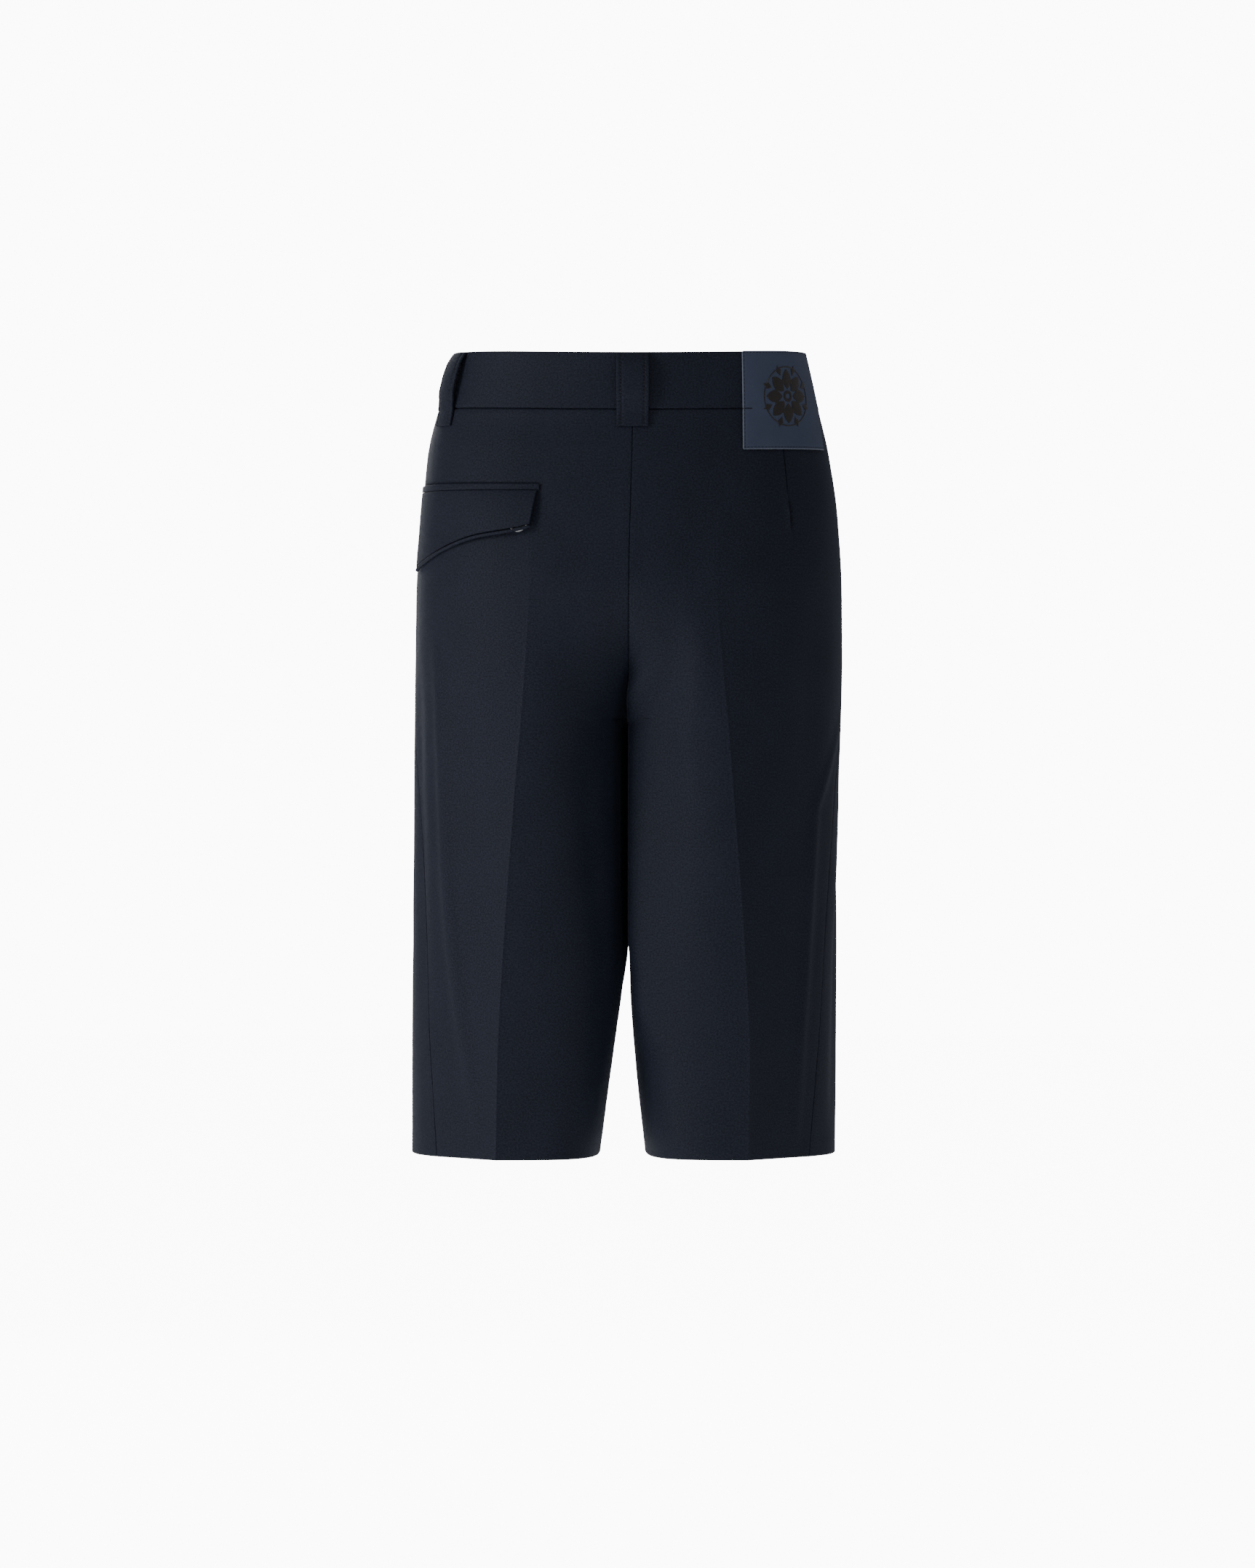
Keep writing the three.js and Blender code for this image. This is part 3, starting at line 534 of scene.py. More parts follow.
# %% Folds
LEFT_RIDGE = [
    (1.57, -195), (1.52, -245), (1.48, -310), (1.44, -380), (1.39, -435), (1.29, -500), (1.16, -580),
]
FOLDS = [
    ("left", LEFT_RIDGE, 8, 3.6),
    ("left", [(1.78, -215), (1.75, -300), (1.7, -400), (1.62, -500)], 11, -2.2),
    ("left", [(1.3, -235), (1.27, -330), (1.2, -430)], 12, -1.4),
    ("left", [(0.66, -260), (0.62, -330), (0.5, -440), (0.44, -540)], 14, -3.4),
    ("left", [(0.36, -290), (0.32, -380), (0.26, -450)], 9, 1.6),
    ("right", [(0.5, -160), (0.52, -250), (0.5, -340)], 15, -2.2),
    ("right", [(0.78, -180), (0.8, -260), (0.82, -330)], 9, 1),
    ("right", [(1.55, -150), (1.5, -260), (1.42, -380)], 16, -1.8),
    ("right", [(1.9, -250), (1.68, -298), (1.55, -330), (1.49, -410), (1.42, -500), (1.4, -592)], 6, 2.6),
    ("right", [(2.05, -330), (1.9, -430), (1.84, -520), (1.8, -585)], 12, -3.4),
    ("left", [(2.25, -300), (2.3, -400), (2.34, -500), (2.36, -580)], 14, -3),
    ("left", [(3.4, -290), (3.45, -380), (3.5, -470)], 14, -2.6),
    ("right", [(2.42, -280), (2.48, -380), (2.5, -500)], 14, -2.6),
    ("right", [(3.5, -280), (3.52, -370), (3.58, -480)], 13, -2.8),
]
DART = {"top": (119.8, -26), "tip": (128.6, -104)}
SLIT_END = 69.5
SLIT_LEVEL = -84
SLIT_GROOVE = {"from": 69, "to": 208, "level": -83.9, "depth": 1.1, "width": 0.75}


def bell(away, width):
    return np.exp(-((away / width) ** 2))


def fold_lift(half, levels, distances):
    """How far the folds lift the cloth, for rows of places at the same heights."""
    lift = np.zeros(distances.shape)
    for side, path, width, depth in FOLDS:
        if side != half:
            continue
        top, bottom = path[0][1], path[-1][1]
        heights = [-z for _, z in path]
        for i, level in enumerate(levels):
            if not bottom < level < top:
                continue
            place = float(np.interp(-level, heights, [u for u, _ in path]))
            fade = math.sin(math.pi * (top - level) / (top - bottom)) ** 0.7
            lift[i] += depth * fade * bell(distances[i] - ring(half, level).distance(place), width)
    return lift


def dart_lift(levels, distances):
    """The dart's sewn line and the small pucker under its tip, on the right back."""
    top, tip = DART["top"], DART["tip"]
    t = (top[1] - levels[:, None]) / (top[1] - tip[1])
    away = distances - (top[0] + (tip[0] - top[0]) * clamp(t, 0, 1.3))
    sewn = (t > 0) * (1 - smooth_step(t, 0.78, 0.9))
    line = -1.4 * sewn * bell(away, 0.55)
    overlap = -0.5 * sewn * np.where(away > 0, bell(away, 5.0), 0)
    pleat = bell(t - 1.04, 0.15) * (2.0 * bell(away + 2.0, 2.0) - 3.6 * bell(away - 0.9, 1.3))
    return line + overlap + pleat


def pocket_tuck(distances, levels):
    """The welt's inner end pulls a short slanted tuck into the cloth beside it."""
    across, down = SLIT_END - distances, levels - SLIT_LEVEL
    along = across * 0.8 + down * 0.6
    beside = down * 0.8 - across * 0.6
    return -0.7 * bell(beside, 1.3) * bell(along - 3.5, 3.4)


def slit_groove(distances, levels):
    """The cloth dips along the upper edge of the welt, where the slit was turned in."""
    start, end = SLIT_GROOVE["from"], SLIT_GROOVE["to"]
    beside = smooth_step(distances, start - 1, start + 1) * smooth_step(distances, end + 1, end - 1)
    return SLIT_GROOVE["depth"] * bell(levels - SLIT_GROOVE["level"], SLIT_GROOVE["width"]) * beside


def grain(distances, levels, across, down, seed):
    """Gentle unevenness, longer down the cloth than across it."""
    flat = zip((distances / across).ravel(), (levels / down).ravel())
    return np.array([noise.noise(Vector((a, b, seed))) for a, b in flat]).reshape(distances.shape)


print(len(FOLDS), "folds in the table")


# %% Rows and columns of a panel
CLOTH = 1.4
HEM_WALL = 2.8
HEM_TURN_UP = 38
NEAR = np.array([0.2, 0.5, 1.0, 1.8, 3.2, 5.0])


def panel_levels():
    above_slit = np.linspace(WAIST_SEAM, -80, 20)
    slit = np.array([-82, -83, -83.5, -83.9, -84.3, -85, -86.5])
    seat = np.concatenate([above_slit, slit, np.linspace(-89, BACK_SEAM_BENDS, 22)])
    curve = BACK_SEAM_BENDS + (CROTCH - BACK_SEAM_BENDS) * np.sin(np.linspace(0, math.pi / 2, 30)[1:])
    turn_up = HEM + HEM_TURN_UP
    leg = np.concatenate([np.linspace(CROTCH, turn_up + 1, 92)[1:], np.linspace(turn_up - 1, HEM + 3, 12)])
    top = WAIST_SEAM - NEAR[:4]
    hem = HEM + np.array([2.1, 1.4, 0.8, 0.35, 0])
    return np.concatenate([seat[:1], top, seat[2:], curve, leg, hem])


def spread(marks, counts):
    """Distances between marks, closer together near each mark."""
    parts = [[marks[0]]]
    for start, end, count in zip(marks, marks[1:], counts):
        even = np.linspace(start + NEAR[-1], end - NEAR[-1], count + 2)[1:-1]
        parts += [start + NEAR, even, end - NEAR[::-1], [end]]
    return np.concatenate(parts)


LEVELS = np.round(panel_levels(), 2)
print(len(LEVELS), "rows in a panel")


# %% What shapes a panel beside its seams
SEAM_SINK = 0.85
SEAM_WIDTH = 0.3
NEST = {"swell": 2.2, "hollow": -2.7, "middle": 36, "width": 24}
CREASE = {"ridge": 0.22, "width": 1.3, "fade": (-140, -235)}
WAIST_GROOVE = {"depth": 1.7, "width": 0.8}
HEM_ROLL = 1.3
DART_FADE = (-6, -124)
FLY = {"lap": 8, "out": 1.9, "ramp": 36, "lap_ends": (-165, -180), "out_ends": (-182, -212)}


def seam_lift(away, levels, seed):
    """Sewn edges sink into a fine groove, with small puckers beside it and the pressed-open edge behind."""
    pucker = np.sin(levels / 1.9 + 3 * np.sin(levels / 17 + seed)) * bell(away - 1.6, 2.2)
    pressed_open = 0.1 * smooth_step(away, 11, 8) * smooth_step(away, 0.5, 2.5)
    return -SEAM_SINK * bell(away, SEAM_WIDTH) + 0.07 * pucker + pressed_open


def legs_meet(half, front, from_inseam, down):
    """Between the thighs one leg swells where the other hollows, so the two inner sides nest."""
    swells = (half == "left") == front
    height = NEST["swell"] if swells else NEST["hollow"]
    fade = smooth_step(down, CROTCH + 6, CROTCH - 6) * smooth_step(down, *LEGS_PART)
    return height * fade * bell(from_inseam - NEST["middle"], NEST["width"])


def waist_groove(down):
    """The panels dip in a narrow groove under the band's lower edge."""
    return WAIST_GROOVE["depth"] * bell(WAIST_SEAM - down, WAIST_GROOVE["width"])


def panel_marks(name, half, level, first, crease, last):
    """Places that get close columns: both seams, the pressed crease and, on one back, the dart."""
    r = ring(half, level)
    side = r.distance(1 + section["seam"](level))
    marks = [side if m is None else r.distance(m) for m in (first, crease, last)]
    if name == "back_right":
        t = clamp((DART["top"][1] - level) / (DART["top"][1] - DART["tip"][1]))
        line = DART["top"][0] + (DART["tip"][0] - DART["top"][0]) * t
        below = smooth_step(level, DART["tip"][1] + DART_FADE[0], DART["tip"][1] + DART_FADE[1])
        marks.insert(2, line + ((marks[1] + marks[2]) / 2 - line) * below)
    return marks


def fly_edge(half, rows, lift, down, centre):
    """At the fly the right front stands out over the left one and laps a little past the centre."""
    if half == "left":
        return rows, lift
    near = 1 - smooth_step(centre - rows, 0, FLY["ramp"])
    out = FLY["out"] * smooth_step(down, *FLY["out_ends"][::-1])
    lap = FLY["lap"] * smooth_step(down, *FLY["lap_ends"][::-1])
    share = smooth_step(centre - rows, 14, 0)
    return rows + lap * share, lift + (out + waist_groove(down)) * near


print("seams sink", SEAM_SINK, "mm and the band's edge groove", WAIST_GROOVE["depth"], "mm")


# %% Panels
def leg_panel(name, half, front, seed):
    first, crease, last = (None, 3, 4) if front else (0, 1, None)
    marks = np.array([panel_marks(name, half, level, first, crease, last) for level in LEVELS])
    counts = (34, 22, 16) if name == "back_right" else (34, 34)
    rows = np.array([spread(m, counts) for m in marks])
    marks = marks[:, [0, 1, -1]]
    down = LEVELS[:, None]
    from_crease = rows - marks[:, 1:2]
    tall = np.broadcast_to(down, rows.shape)
    lift = fold_lift(half, LEVELS, rows)
    lift += CREASE["ridge"] * smooth_step(down, *CREASE["fade"]) * bell(from_crease, CREASE["width"])
    lift += seam_lift(rows - marks[:, :1], down, seed) + seam_lift(marks[:, 2:] - rows, down, seed + 4)
    lift += 0.35 * grain(from_crease, tall, 26.0, 70.0, seed)
    lift += 0.1 * grain(from_crease, tall, 7.0, 16.0, seed + 9)
    lift -= waist_groove(down)
    from_inseam = marks[:, 2:] - rows if front else rows - marks[:, :1]
    lift += legs_meet(half, front, from_inseam, down)
    if name == "back_right":
        lift += dart_lift(LEVELS, rows)
    if name == "back_left":
        lift += pocket_tuck(rows, down) - slit_groove(rows, down)
    if front:
        rows, lift = fly_edge(half, rows, lift, down, marks[:, 2:])
    turn_up = HEM + HEM_TURN_UP
    wall = HEM_WALL + (CLOTH - HEM_WALL) * smooth_step(down, turn_up - 1, turn_up + 1)
    hem_roll = rolled(down - HEM, HEM_ROLL)
    points, outward = surface(half, down, rows)
    # At the seat seam the cloth may sink, but not move sideways, or the seam would open.
    sideways = 1 - (1 - smooth_step(np.abs(from_inseam), 0, 6)) * smooth_step(down, CROTCH - 6, CROTCH)
    way = outward * np.stack([sideways, np.ones(rows.shape), np.ones(rows.shape)], axis=-1)
    outer = points + way * (lift - hem_roll)[..., None]
    inner = outer - outward * (wall - 2 * hem_roll)[..., None]
    mesh = close_wall(name, outer, inner, pattern_chart(half, down, from_crease), HALVES[half]["sign"])
    piece = add_piece(name + "_cloth", mesh, navy_wool, [name])
    return Face(LEVELS, rows, outer, outward)


panels = {}
for seed, (half, front) in enumerate([("left", False), ("right", False), ("left", True), ("right", True)]):
    name = ("front_" if front else "back_") + half
    panels[name] = leg_panel(name, half, front, seed * 3.7)
print(len(panels), "panels made")

# %% [markdown]
# ## The waistband
# The band is cut in two halves that meet at the centre back, and its right half runs on past the
# centre front as a buttoned tab. It is a double layer with interfacing, so it stands smoother and a
# little prouder than the panels. A strip with rounded edges on the same rings is enough, with very
# little waviness, because a fused band hardly creases.

# %% Rounded strips
EDGE = np.array([0, 0.1, 0.28, 0.55, 0.95, 1.5])


def edged(start, end, count):
    """Values from start to end, closer together at both ends."""
    way = 1 if end > start else -1
    even = np.linspace(start + way * EDGE[-1], end - way * EDGE[-1], count + 2)[1:-1]
    return np.concatenate([start + way * EDGE, even, end - way * EDGE[::-1]])


def ground(half, top, bottom, start, end, step=2.5):
    """The bare surface under a piece, as a face that any place can be read from."""
    levels = np.arange(top + step, bottom - 2 * step, -step)
    distances = np.arange(start - step, end + 2 * step, step)
    points, outward = surface(half, levels[:, None], distances[None, :])
    return Face(levels, distances, points, outward)


def laid_piece(name, under, half, levels, distances, out, wall, away, radius, **look):
    """A piece laid over the surface: its inner face lies out from it, and its edges are rounded."""
    points, outward = under.at(distances, levels)
    roll = rolled(away, radius)
    relief = look.get("relief", 0.0)
    outer = points + outward * (out + wall - roll + relief)[..., None]
    inner = points + outward * (out + roll)[..., None]
    mesh = close_wall(name, outer, inner, pattern_chart(half, levels, distances), HALVES[half]["sign"])
    material, slot = look.get("material", navy_wool), look.get("slot", "navy_twill")
    piece = add_piece(name, mesh, material, look.get("stands_for", ()))
    return piece, Face(levels[:, 0], distances, outer, outward)


print("strip with", len(edged(0, 24, 12)), "columns across 24 mm")

# %% Waistband halves
BAND_PROUD = 0.5
BAND_WALL = 2.8
TAB_LENGTH = 30
TAB_RAMP = 26
PIECE_GAP = 0.3
LOWER_EDGE = WAIST_SEAM + 0.15
HALF_GAP = 0.1


def waistband(half, laps, seed):
    levels = edged(WAIST_TOP, LOWER_EDGE, 16)
    share = np.linspace(0, 1, 120)
    rows, whole = [], []
    for level in levels:
        length = ring(half, level).whole
        whole.append(length)
        inner = HALF_GAP + share * (length - 2 * HALF_GAP)
        tab = length + np.linspace(0, TAB_LENGTH, 24)[1:]
        rows.append(np.concatenate([inner, tab]) if laps else inner)
    rows, whole = np.array(rows), np.array(whole)[:, None]
    end = whole + (TAB_LENGTH if laps else -HALF_GAP)
    down = np.broadcast_to(levels[:, None], rows.shape)
    out = np.full(rows.shape, BAND_PROUD - BAND_WALL)
    if laps:
        out = out + (BAND_WALL + PIECE_GAP) * smooth_step(rows, whole - TAB_RAMP, whole - 2)
    away = np.minimum(np.minimum(WAIST_TOP - down, down - LOWER_EDGE), np.minimum(rows, end - rows))
    relief = 0.16 * grain(rows, down, 38.0, 30.0, seed) + 0.04 * grain(rows, down, 6.0, 6.0, seed + 2)
    points, outward = surface(half, levels[:, None], rows)
    roll = rolled(clamp(away, 0, 9), 0.7)
    outer = points + outward * (out + BAND_WALL - roll + relief)[..., None]
    inner = points + outward * (out + roll)[..., None]
    name = "waistband_" + half
    mesh = close_wall(name, outer, inner, pattern_chart(half, down, rows), HALVES[half]["sign"])
    piece = add_piece(name + "_cloth", mesh, navy_wool, [name])
    length = float(end.max()) * MM
    print(name, "cut", round(length, 3), "m long")
    return Face(levels, rows, outer, outward)


bands = {"left": waistband("left", False, 2.3), "right": waistband("right", True, 5.1)}

# %% [markdown]
# ## Belt loops
# A loop is a folded strip, topstitched along both edges, tacked at the top of the band and turned
# under below the waist seam. In between it stands off the band, so the gap beside it is dark. Its
# profile is a short table of heights and stand-off, and the stitched lines are grooves in it that are
# deepest between two stitches.

# %% Belt loops
LOOP_WIDTH = 24
LOOP_WALL = 1.9
LOOP_STITCH_IN = 3.5
LOOP_STITCH_STEP = 2.7
LOOP_GROOVE = {"depth": 0.95, "width": 0.65}
LOOP_CROWN = 0.3
LOOP_BEND = -20.5
LOOP_PROFILE = [
    (16.5, 0), (12.5, 0.42), (6, 0.86), (-3, 1), (-12, 0.96), (-20, 0.62), (-24, 0.34), (-29, 0.12),
    (-40.1, 0.02),
]
LOOPS = {
    "centre_back": ("left", 0, 5.2, 0),
    "left_back": ("left", 152.5, 3.9, 11.5),
    "left_front": ("left", 262, 3.4, 0),
    "right_front": ("right", 262, 3.4, 0),
}
loop_gap = column(LOOP_PROFILE, 1)


def sewn_proud(level):
    """The band stands proud above the waist seam, and the panels below it do not."""
    return np.where(level > WAIST_SEAM, BAND_PROUD, BAND_PROUD * (1 - smooth_step(-level, 25, 30)))


def loop_middle(start, leans, levels):
    """A loop's middle line: at the side it drifts forward on its way down, with the widening hip."""
    top, bottom = LOOP_PROFILE[0][0], LOOP_PROFILE[-1][0]
    return start + leans * (top - levels) / (top - bottom)


def belt_loop(name, half, start, stands, leans, seed):
    top, bottom = LOOP_PROFILE[0][0], LOOP_PROFILE[-1][0]
    under = ground(half, top, bottom, start - 13, start + leans + 13)
    down = edged(top, bottom, 108)
    across = edged(-LOOP_WIDTH / 2, LOOP_WIDTH / 2, 21)
    levels = np.broadcast_to(down[:, None], (len(down), len(across)))
    distances = loop_middle(start, leans, levels) + across
    beside = np.abs(np.broadcast_to(across, levels.shape))
    gap = np.array([loop_gap(level) for level in levels[:, 0]])[:, None]
    out = sewn_proud(levels) + PIECE_GAP + gap * stands
    away = np.minimum(LOOP_WIDTH / 2 - beside, np.minimum(top - levels, levels - bottom))
    stitched = beside - (LOOP_WIDTH / 2 - LOOP_STITCH_IN)
    dimples = 0.6 + 0.4 * np.cos((levels - top) * 2 * math.pi / LOOP_STITCH_STEP)
    relief = -LOOP_GROOVE["depth"] * dimples * bell(stitched, LOOP_GROOVE["width"])
    relief += LOOP_CROWN * (1 - (2 * beside / LOOP_WIDTH) ** 2) - 0.4 * bell(levels - LOOP_BEND, 1.2)
    relief += 0.12 * grain(distances, levels, 9.0, 12.0, seed)
    piece, face = laid_piece(
        f"loop_{name}_cloth", under, half, levels, distances, out, LOOP_WALL, clamp(away), 0.65,
        relief=relief, stands_for=[f"loop_{name}"],
    )
    return face


loop_faces = {
    name: belt_loop(name, *row, seed) for seed, (name, row) in enumerate(LOOPS.items(), 11)
}
print(len(loop_faces), "belt loops,", LOOP_WIDTH, "mm wide")

# %% [markdown]
# ## The leather patch
# A stiff patch is sewn over the band and the top of the right back. Leather keeps a cut edge, so its
# corners are only slightly rounded, and the stitching pulls a shallow channel along all four sides.
# Its grain belongs to the material, while the channel and the soft bow are modelled.

# %% Leather material
grained = bpy.data.node_groups.new("leather_grain", "ShaderNodeTree")
socket(grained, "Pattern", "NodeSocketVector", True)
socket(grained, "Pebbles per mm", "NodeSocketFloat", True, 1.2)
socket(grained, "Height", "NodeSocketFloat", False)
socket(grained, "Cloud", "NodeSocketFloat", False)
entry = grained.nodes.new("NodeGroupInput")
leave = grained.nodes.new("NodeGroupOutput")
scale = maths(grained, "MULTIPLY", entry.outputs["Pebbles per mm"], 1000.0)
chart = entry.outputs["Pattern"]
cells = node(grained, "ShaderNodeTexVoronoi", {"Vector": chart, "Scale": scale}, feature="SMOOTH_F1")
pebbles = maths(grained, "MULTIPLY_ADD", cells.outputs["Distance"], -0.8, 0.8)
fine = noise_node(grained, chart, 2400.0, 2.0)
grained.links.new(maths(grained, "MULTIPLY_ADD", fine, 0.3, pebbles), leave.inputs["Height"])
grained.links.new(noise_node(grained, chart, 45.0, 4.0), leave.inputs["Cloud"])


def leather_material(name, dark, light, edge, roughness):
    material, tree, shader = new_material(name)
    chart = node(tree, "ShaderNodeUVMap", uv_map="pattern").outputs[0]
    group = node(tree, "ShaderNodeGroup", node_tree=grained)
    tree.links.new(chart, group.inputs["Pattern"])
    # The edge colour, mixed in near the cut edges, is the lighter raw edge of the leather with a painted
    # highlight along it.
    raw_edge_highlight = node(tree, "ShaderNodeAttribute", attribute_name="raw_edge_highlight").outputs["Fac"]
    body = between(tree, group.outputs["Cloud"], dark, light)
    colour = node(tree, "ShaderNodeMix", {0: raw_edge_highlight, 6: body, 7: (*edge, 1)}, data_type="RGBA")
    tree.links.new(colour.outputs[2], shader.inputs["Base Color"])
    rough = maths(tree, "MULTIPLY_ADD", group.outputs["Cloud"], 0.16, roughness)
    tree.links.new(rough, shader.inputs["Roughness"])
    bump_into(tree, shader, group.outputs["Height"], 0.3, 0.0001)
    shader.inputs["Specular IOR Level"].default_value = 0.4
    return material


blue_leather = leather_material(
    "blue_leather", (0.058, 0.074, 0.135), (0.076, 0.098, 0.168), (0.19, 0.22, 0.28), 0.42
)
print("leather material:", blue_leather.name)

# %% The patch
LABEL = {
    "from": 86.3, "width": 87.8, "top": 17.3, "bottom": -58.5, "wall": 1.7, "corner": 1.6, "stitch_in": 1.4,
}


def write_value(mesh, name, values):
    """One number for each vertex of a closed wall, the same on both of its faces."""
    layer = mesh.attributes.new(name=name, type="FLOAT", domain="POINT")
    layer.data.foreach_set("value", np.concatenate([values.ravel(), values.ravel()]).astype(np.float32))


def leather_patch():
    top, bottom, corner = LABEL["top"], LABEL["bottom"], LABEL["corner"]
    start, width = LABEL["from"], LABEL["width"]
    under = ground("right", top, bottom, start, start + width)
    down = edged(top, bottom, 58)
    near_end = np.minimum(top - down, down - bottom)
    inset = corner - np.sqrt(corner**2 - clamp(corner - near_end, 0, corner) ** 2)
    share = (edged(0, width, 66) / width)[None, :]
    distances = start + inset[:, None] + share * (width - 2 * inset[:, None])
    levels = np.broadcast_to(down[:, None], distances.shape)
    side = np.minimum(distances - start, start + width - distances)
    away = np.minimum(side, near_end[:, None])
    channel = -0.32 * bell(away - LABEL["stitch_in"], 0.42)
    bow = 0.35 * grain(distances, levels, 45.0, 34.0, 21.0) + 0.1 * bell(levels - WAIST_SEAM, 3.0)
    out = np.full(distances.shape, BAND_PROUD + PIECE_GAP)
    piece, face = laid_piece(
        "label_patch_leather", under, "right", levels, distances, out, LABEL["wall"], clamp(away), 0.75,
        relief=channel + bow, stands_for=["label_patch"], material=blue_leather, slot="blue_leather",
    )
    # Lighter raw edge with a painted highlight, strongest right at the patch's cut edges.
    write_value(piece.data, "raw_edge_highlight", 0.8 * bell(away, 0.32) + 0.12 * bell(away - 0.8, 0.5))
    return face


patch_face = leather_patch()
print("patch", LABEL["width"], "by", LABEL["top"] - LABEL["bottom"], "mm")

# %% [markdown]
# ## A rosette on the patch
# The patch gets a generic ornament, a plain eight-petal rosette: petals, buds, lozenges and two rings,
# raised less than half a millimetre like a thick gloss print. A bump in the material would do from
# afar, but real relief keeps its edges from every side. Each shape is a small grid in the patch's own
# coordinates, so it follows the curve of the hip.

# %% Rosette shapes
ROSETTE = {"middle": (LABEL["from"] + 41.5, -18), "radius": 25.5, "lift": 0.4}


def rosette_shapes():
    """Each shape as (distance from the middle, half width) along its own axis, and the axis angle."""
    t = np.linspace(0, 1, 17)
    petal = (5.6 + 15.2 * t, 4.6 * np.sin(math.pi * t) ** 0.8)
    lozenge = (17.2 + 8.3 * t, 2.5 * (1 - np.abs(2 * t - 1)))
    bud = (10.2 + 3.6 * t, 0.95 * np.sin(math.pi * t) ** 0.7)
    for k in range(8):
        yield petal, k * math.pi / 4
        yield lozenge, (k + 0.5) * math.pi / 4
        yield bud, (k + 0.5) * math.pi / 4


def raised_shape(points2d, across, face, lift):
    """A closed low relief from a grid of flat offsets, domed towards its middle line."""
    dx, dz = points2d
    dome = lift * (1 - 0.35 * np.abs(across) ** 2.5) * np.ones_like(dx)
    places = ROSETTE["middle"][0] + dx, ROSETTE["middle"][1] + dz
    top, _ = face.at(*places, dome)
    base, _ = face.at(*places, -0.25)
    return top, base


print(len(list(rosette_shapes())), "petals, lozenges and buds")


# %% Rosette mesh
def rosette():
    verts, faces = [], []

    def add_grid(dx, dz, across, wraps):
        top, base = raised_shape((dx, dz), across, patch_face, ROSETTE["lift"])
        rows, columns = dx.shape
        first = sum(len(v) for v in verts)
        verts.extend([top.reshape(-1, 3), base.reshape(-1, 3)])
        a = first + np.arange(rows * columns).reshape(rows, columns)
        b = a + rows * columns
        rim = [(a[i, c], a[i + 1, c], b[i + 1, c], b[i, c]) for c in (0, -1) for i in range(rows - 1)]
        for i in range(rows - 1):
            for j in range(columns - 1):
                faces.append((a[i, j], a[i + 1, j], a[i + 1, j + 1], a[i, j + 1]))
                faces.append((b[i, j], b[i, j + 1], b[i + 1, j + 1], b[i + 1, j]))
        faces.extend(rim)
        if not wraps:
            for r in (0, -1):
                faces.extend((a[r, j], a[r, j + 1], b[r, j + 1], b[r, j]) for j in range(columns - 1))

    across = np.linspace(-1, 1, 9)[None, :]
    for (along, half_width), angle in rosette_shapes():
        offset = np.maximum(half_width, 0.06)[:, None] * across
        radial = np.broadcast_to(along[:, None], offset.shape)
        dx = radial * math.cos(angle) - offset * math.sin(angle)
        dz = radial * math.sin(angle) + offset * math.cos(angle)
        add_grid(dx, dz, np.broadcast_to(across, dx.shape), False)
    for inner, outer in ((2.2, 4.4), (22.4, 23.2)):
        turn = np.linspace(0, 2 * math.pi, 65)[:, None]
        radius = (inner + outer) / 2 + (outer - inner) / 2 * across
        add_grid(radius * np.cos(turn), radius * np.sin(turn), np.broadcast_to(across, (65, 9)), True)
    mesh = bpy.data.meshes.new("rosette")
    mesh.from_pydata((np.concatenate(verts) * MM).tolist(), [], [tuple(int(v) for v in f) for f in faces])
    return tidy_shell(mesh)


def tidy_shell(mesh):
    """Doubles merged and every face turned outwards."""
    shell = bmesh.new()
    shell.from_mesh(mesh)
    bmesh.ops.remove_doubles(shell, verts=shell.verts, dist=2e-6)
    bmesh.ops.recalc_face_normals(shell, faces=shell.faces)
    shell.to_mesh(mesh)
    shell.free()
    return mesh


rosette_mesh = rosette()
print("rosette:", len(rosette_mesh.polygons), "faces")


# %% Gloss print
def glossy_print(name, dark, light):
    """A thick gloss print: dark, slightly uneven, with a clear coat."""
    material, tree, shader = new_material(name)
    place = node(tree, "ShaderNodeTexCoord").outputs["Object"]
    cloud = noise_node(tree, place, 160.0, 4.0)
    tree.links.new(between(tree, cloud, dark, light), shader.inputs["Base Color"])
    tree.links.new(maths(tree, "MULTIPLY_ADD", cloud, 0.2, 0.16), shader.inputs["Roughness"])
    bump_into(tree, shader, noise_node(tree, place, 420.0, 1.0), 0.35, 0.0002)
    shader.inputs["Coat Weight"].default_value = 0.5
    return material


brown_print = glossy_print("brown_gloss_print", (0.018, 0.014, 0.014), (0.035, 0.027, 0.025))
add_piece("label_rosette", rosette_mesh, brown_print)
print("rosette finish:", brown_print.name)

# %% [markdown]
# ## The slanted flap pocket
# Only the left back has a pocket. A narrow welt finishes the slit, and the flap hangs from under it.
# The flap lies flat towards the side but stands off at its inner corner, where the button pushes it
# out, and its lower edge ends in a thin piped roll. Each is a grid whose rows slide from the slit down
# to the slanted edge, so that the outline follows the cut and the stand-off is one short formula.

# %% Welt
WELT = {"from": 69.5, "to": 208, "top": -84.5, "bottom": -89.2, "wall": 1.6}
FLAP_EDGE = [
    (75, -116), (90, -119.2), (121, -123.5), (149.5, -130.5), (175, -138), (197.5, -143.5), (206, -146),
]
FLAP = {
    "inner_top": 71, "top": -89.5, "wall": 1.6, "top_out": 0.3, "edge_out": 1.2, "inner_out": 4.1,
    "lies_flat": (88.5, 154.5),
}
flap_edge = column(FLAP_EDGE, 1)
pocket_ground = ground("left", WELT["top"], FLAP_EDGE[-1][1] - 3, WELT["from"], WELT["to"])


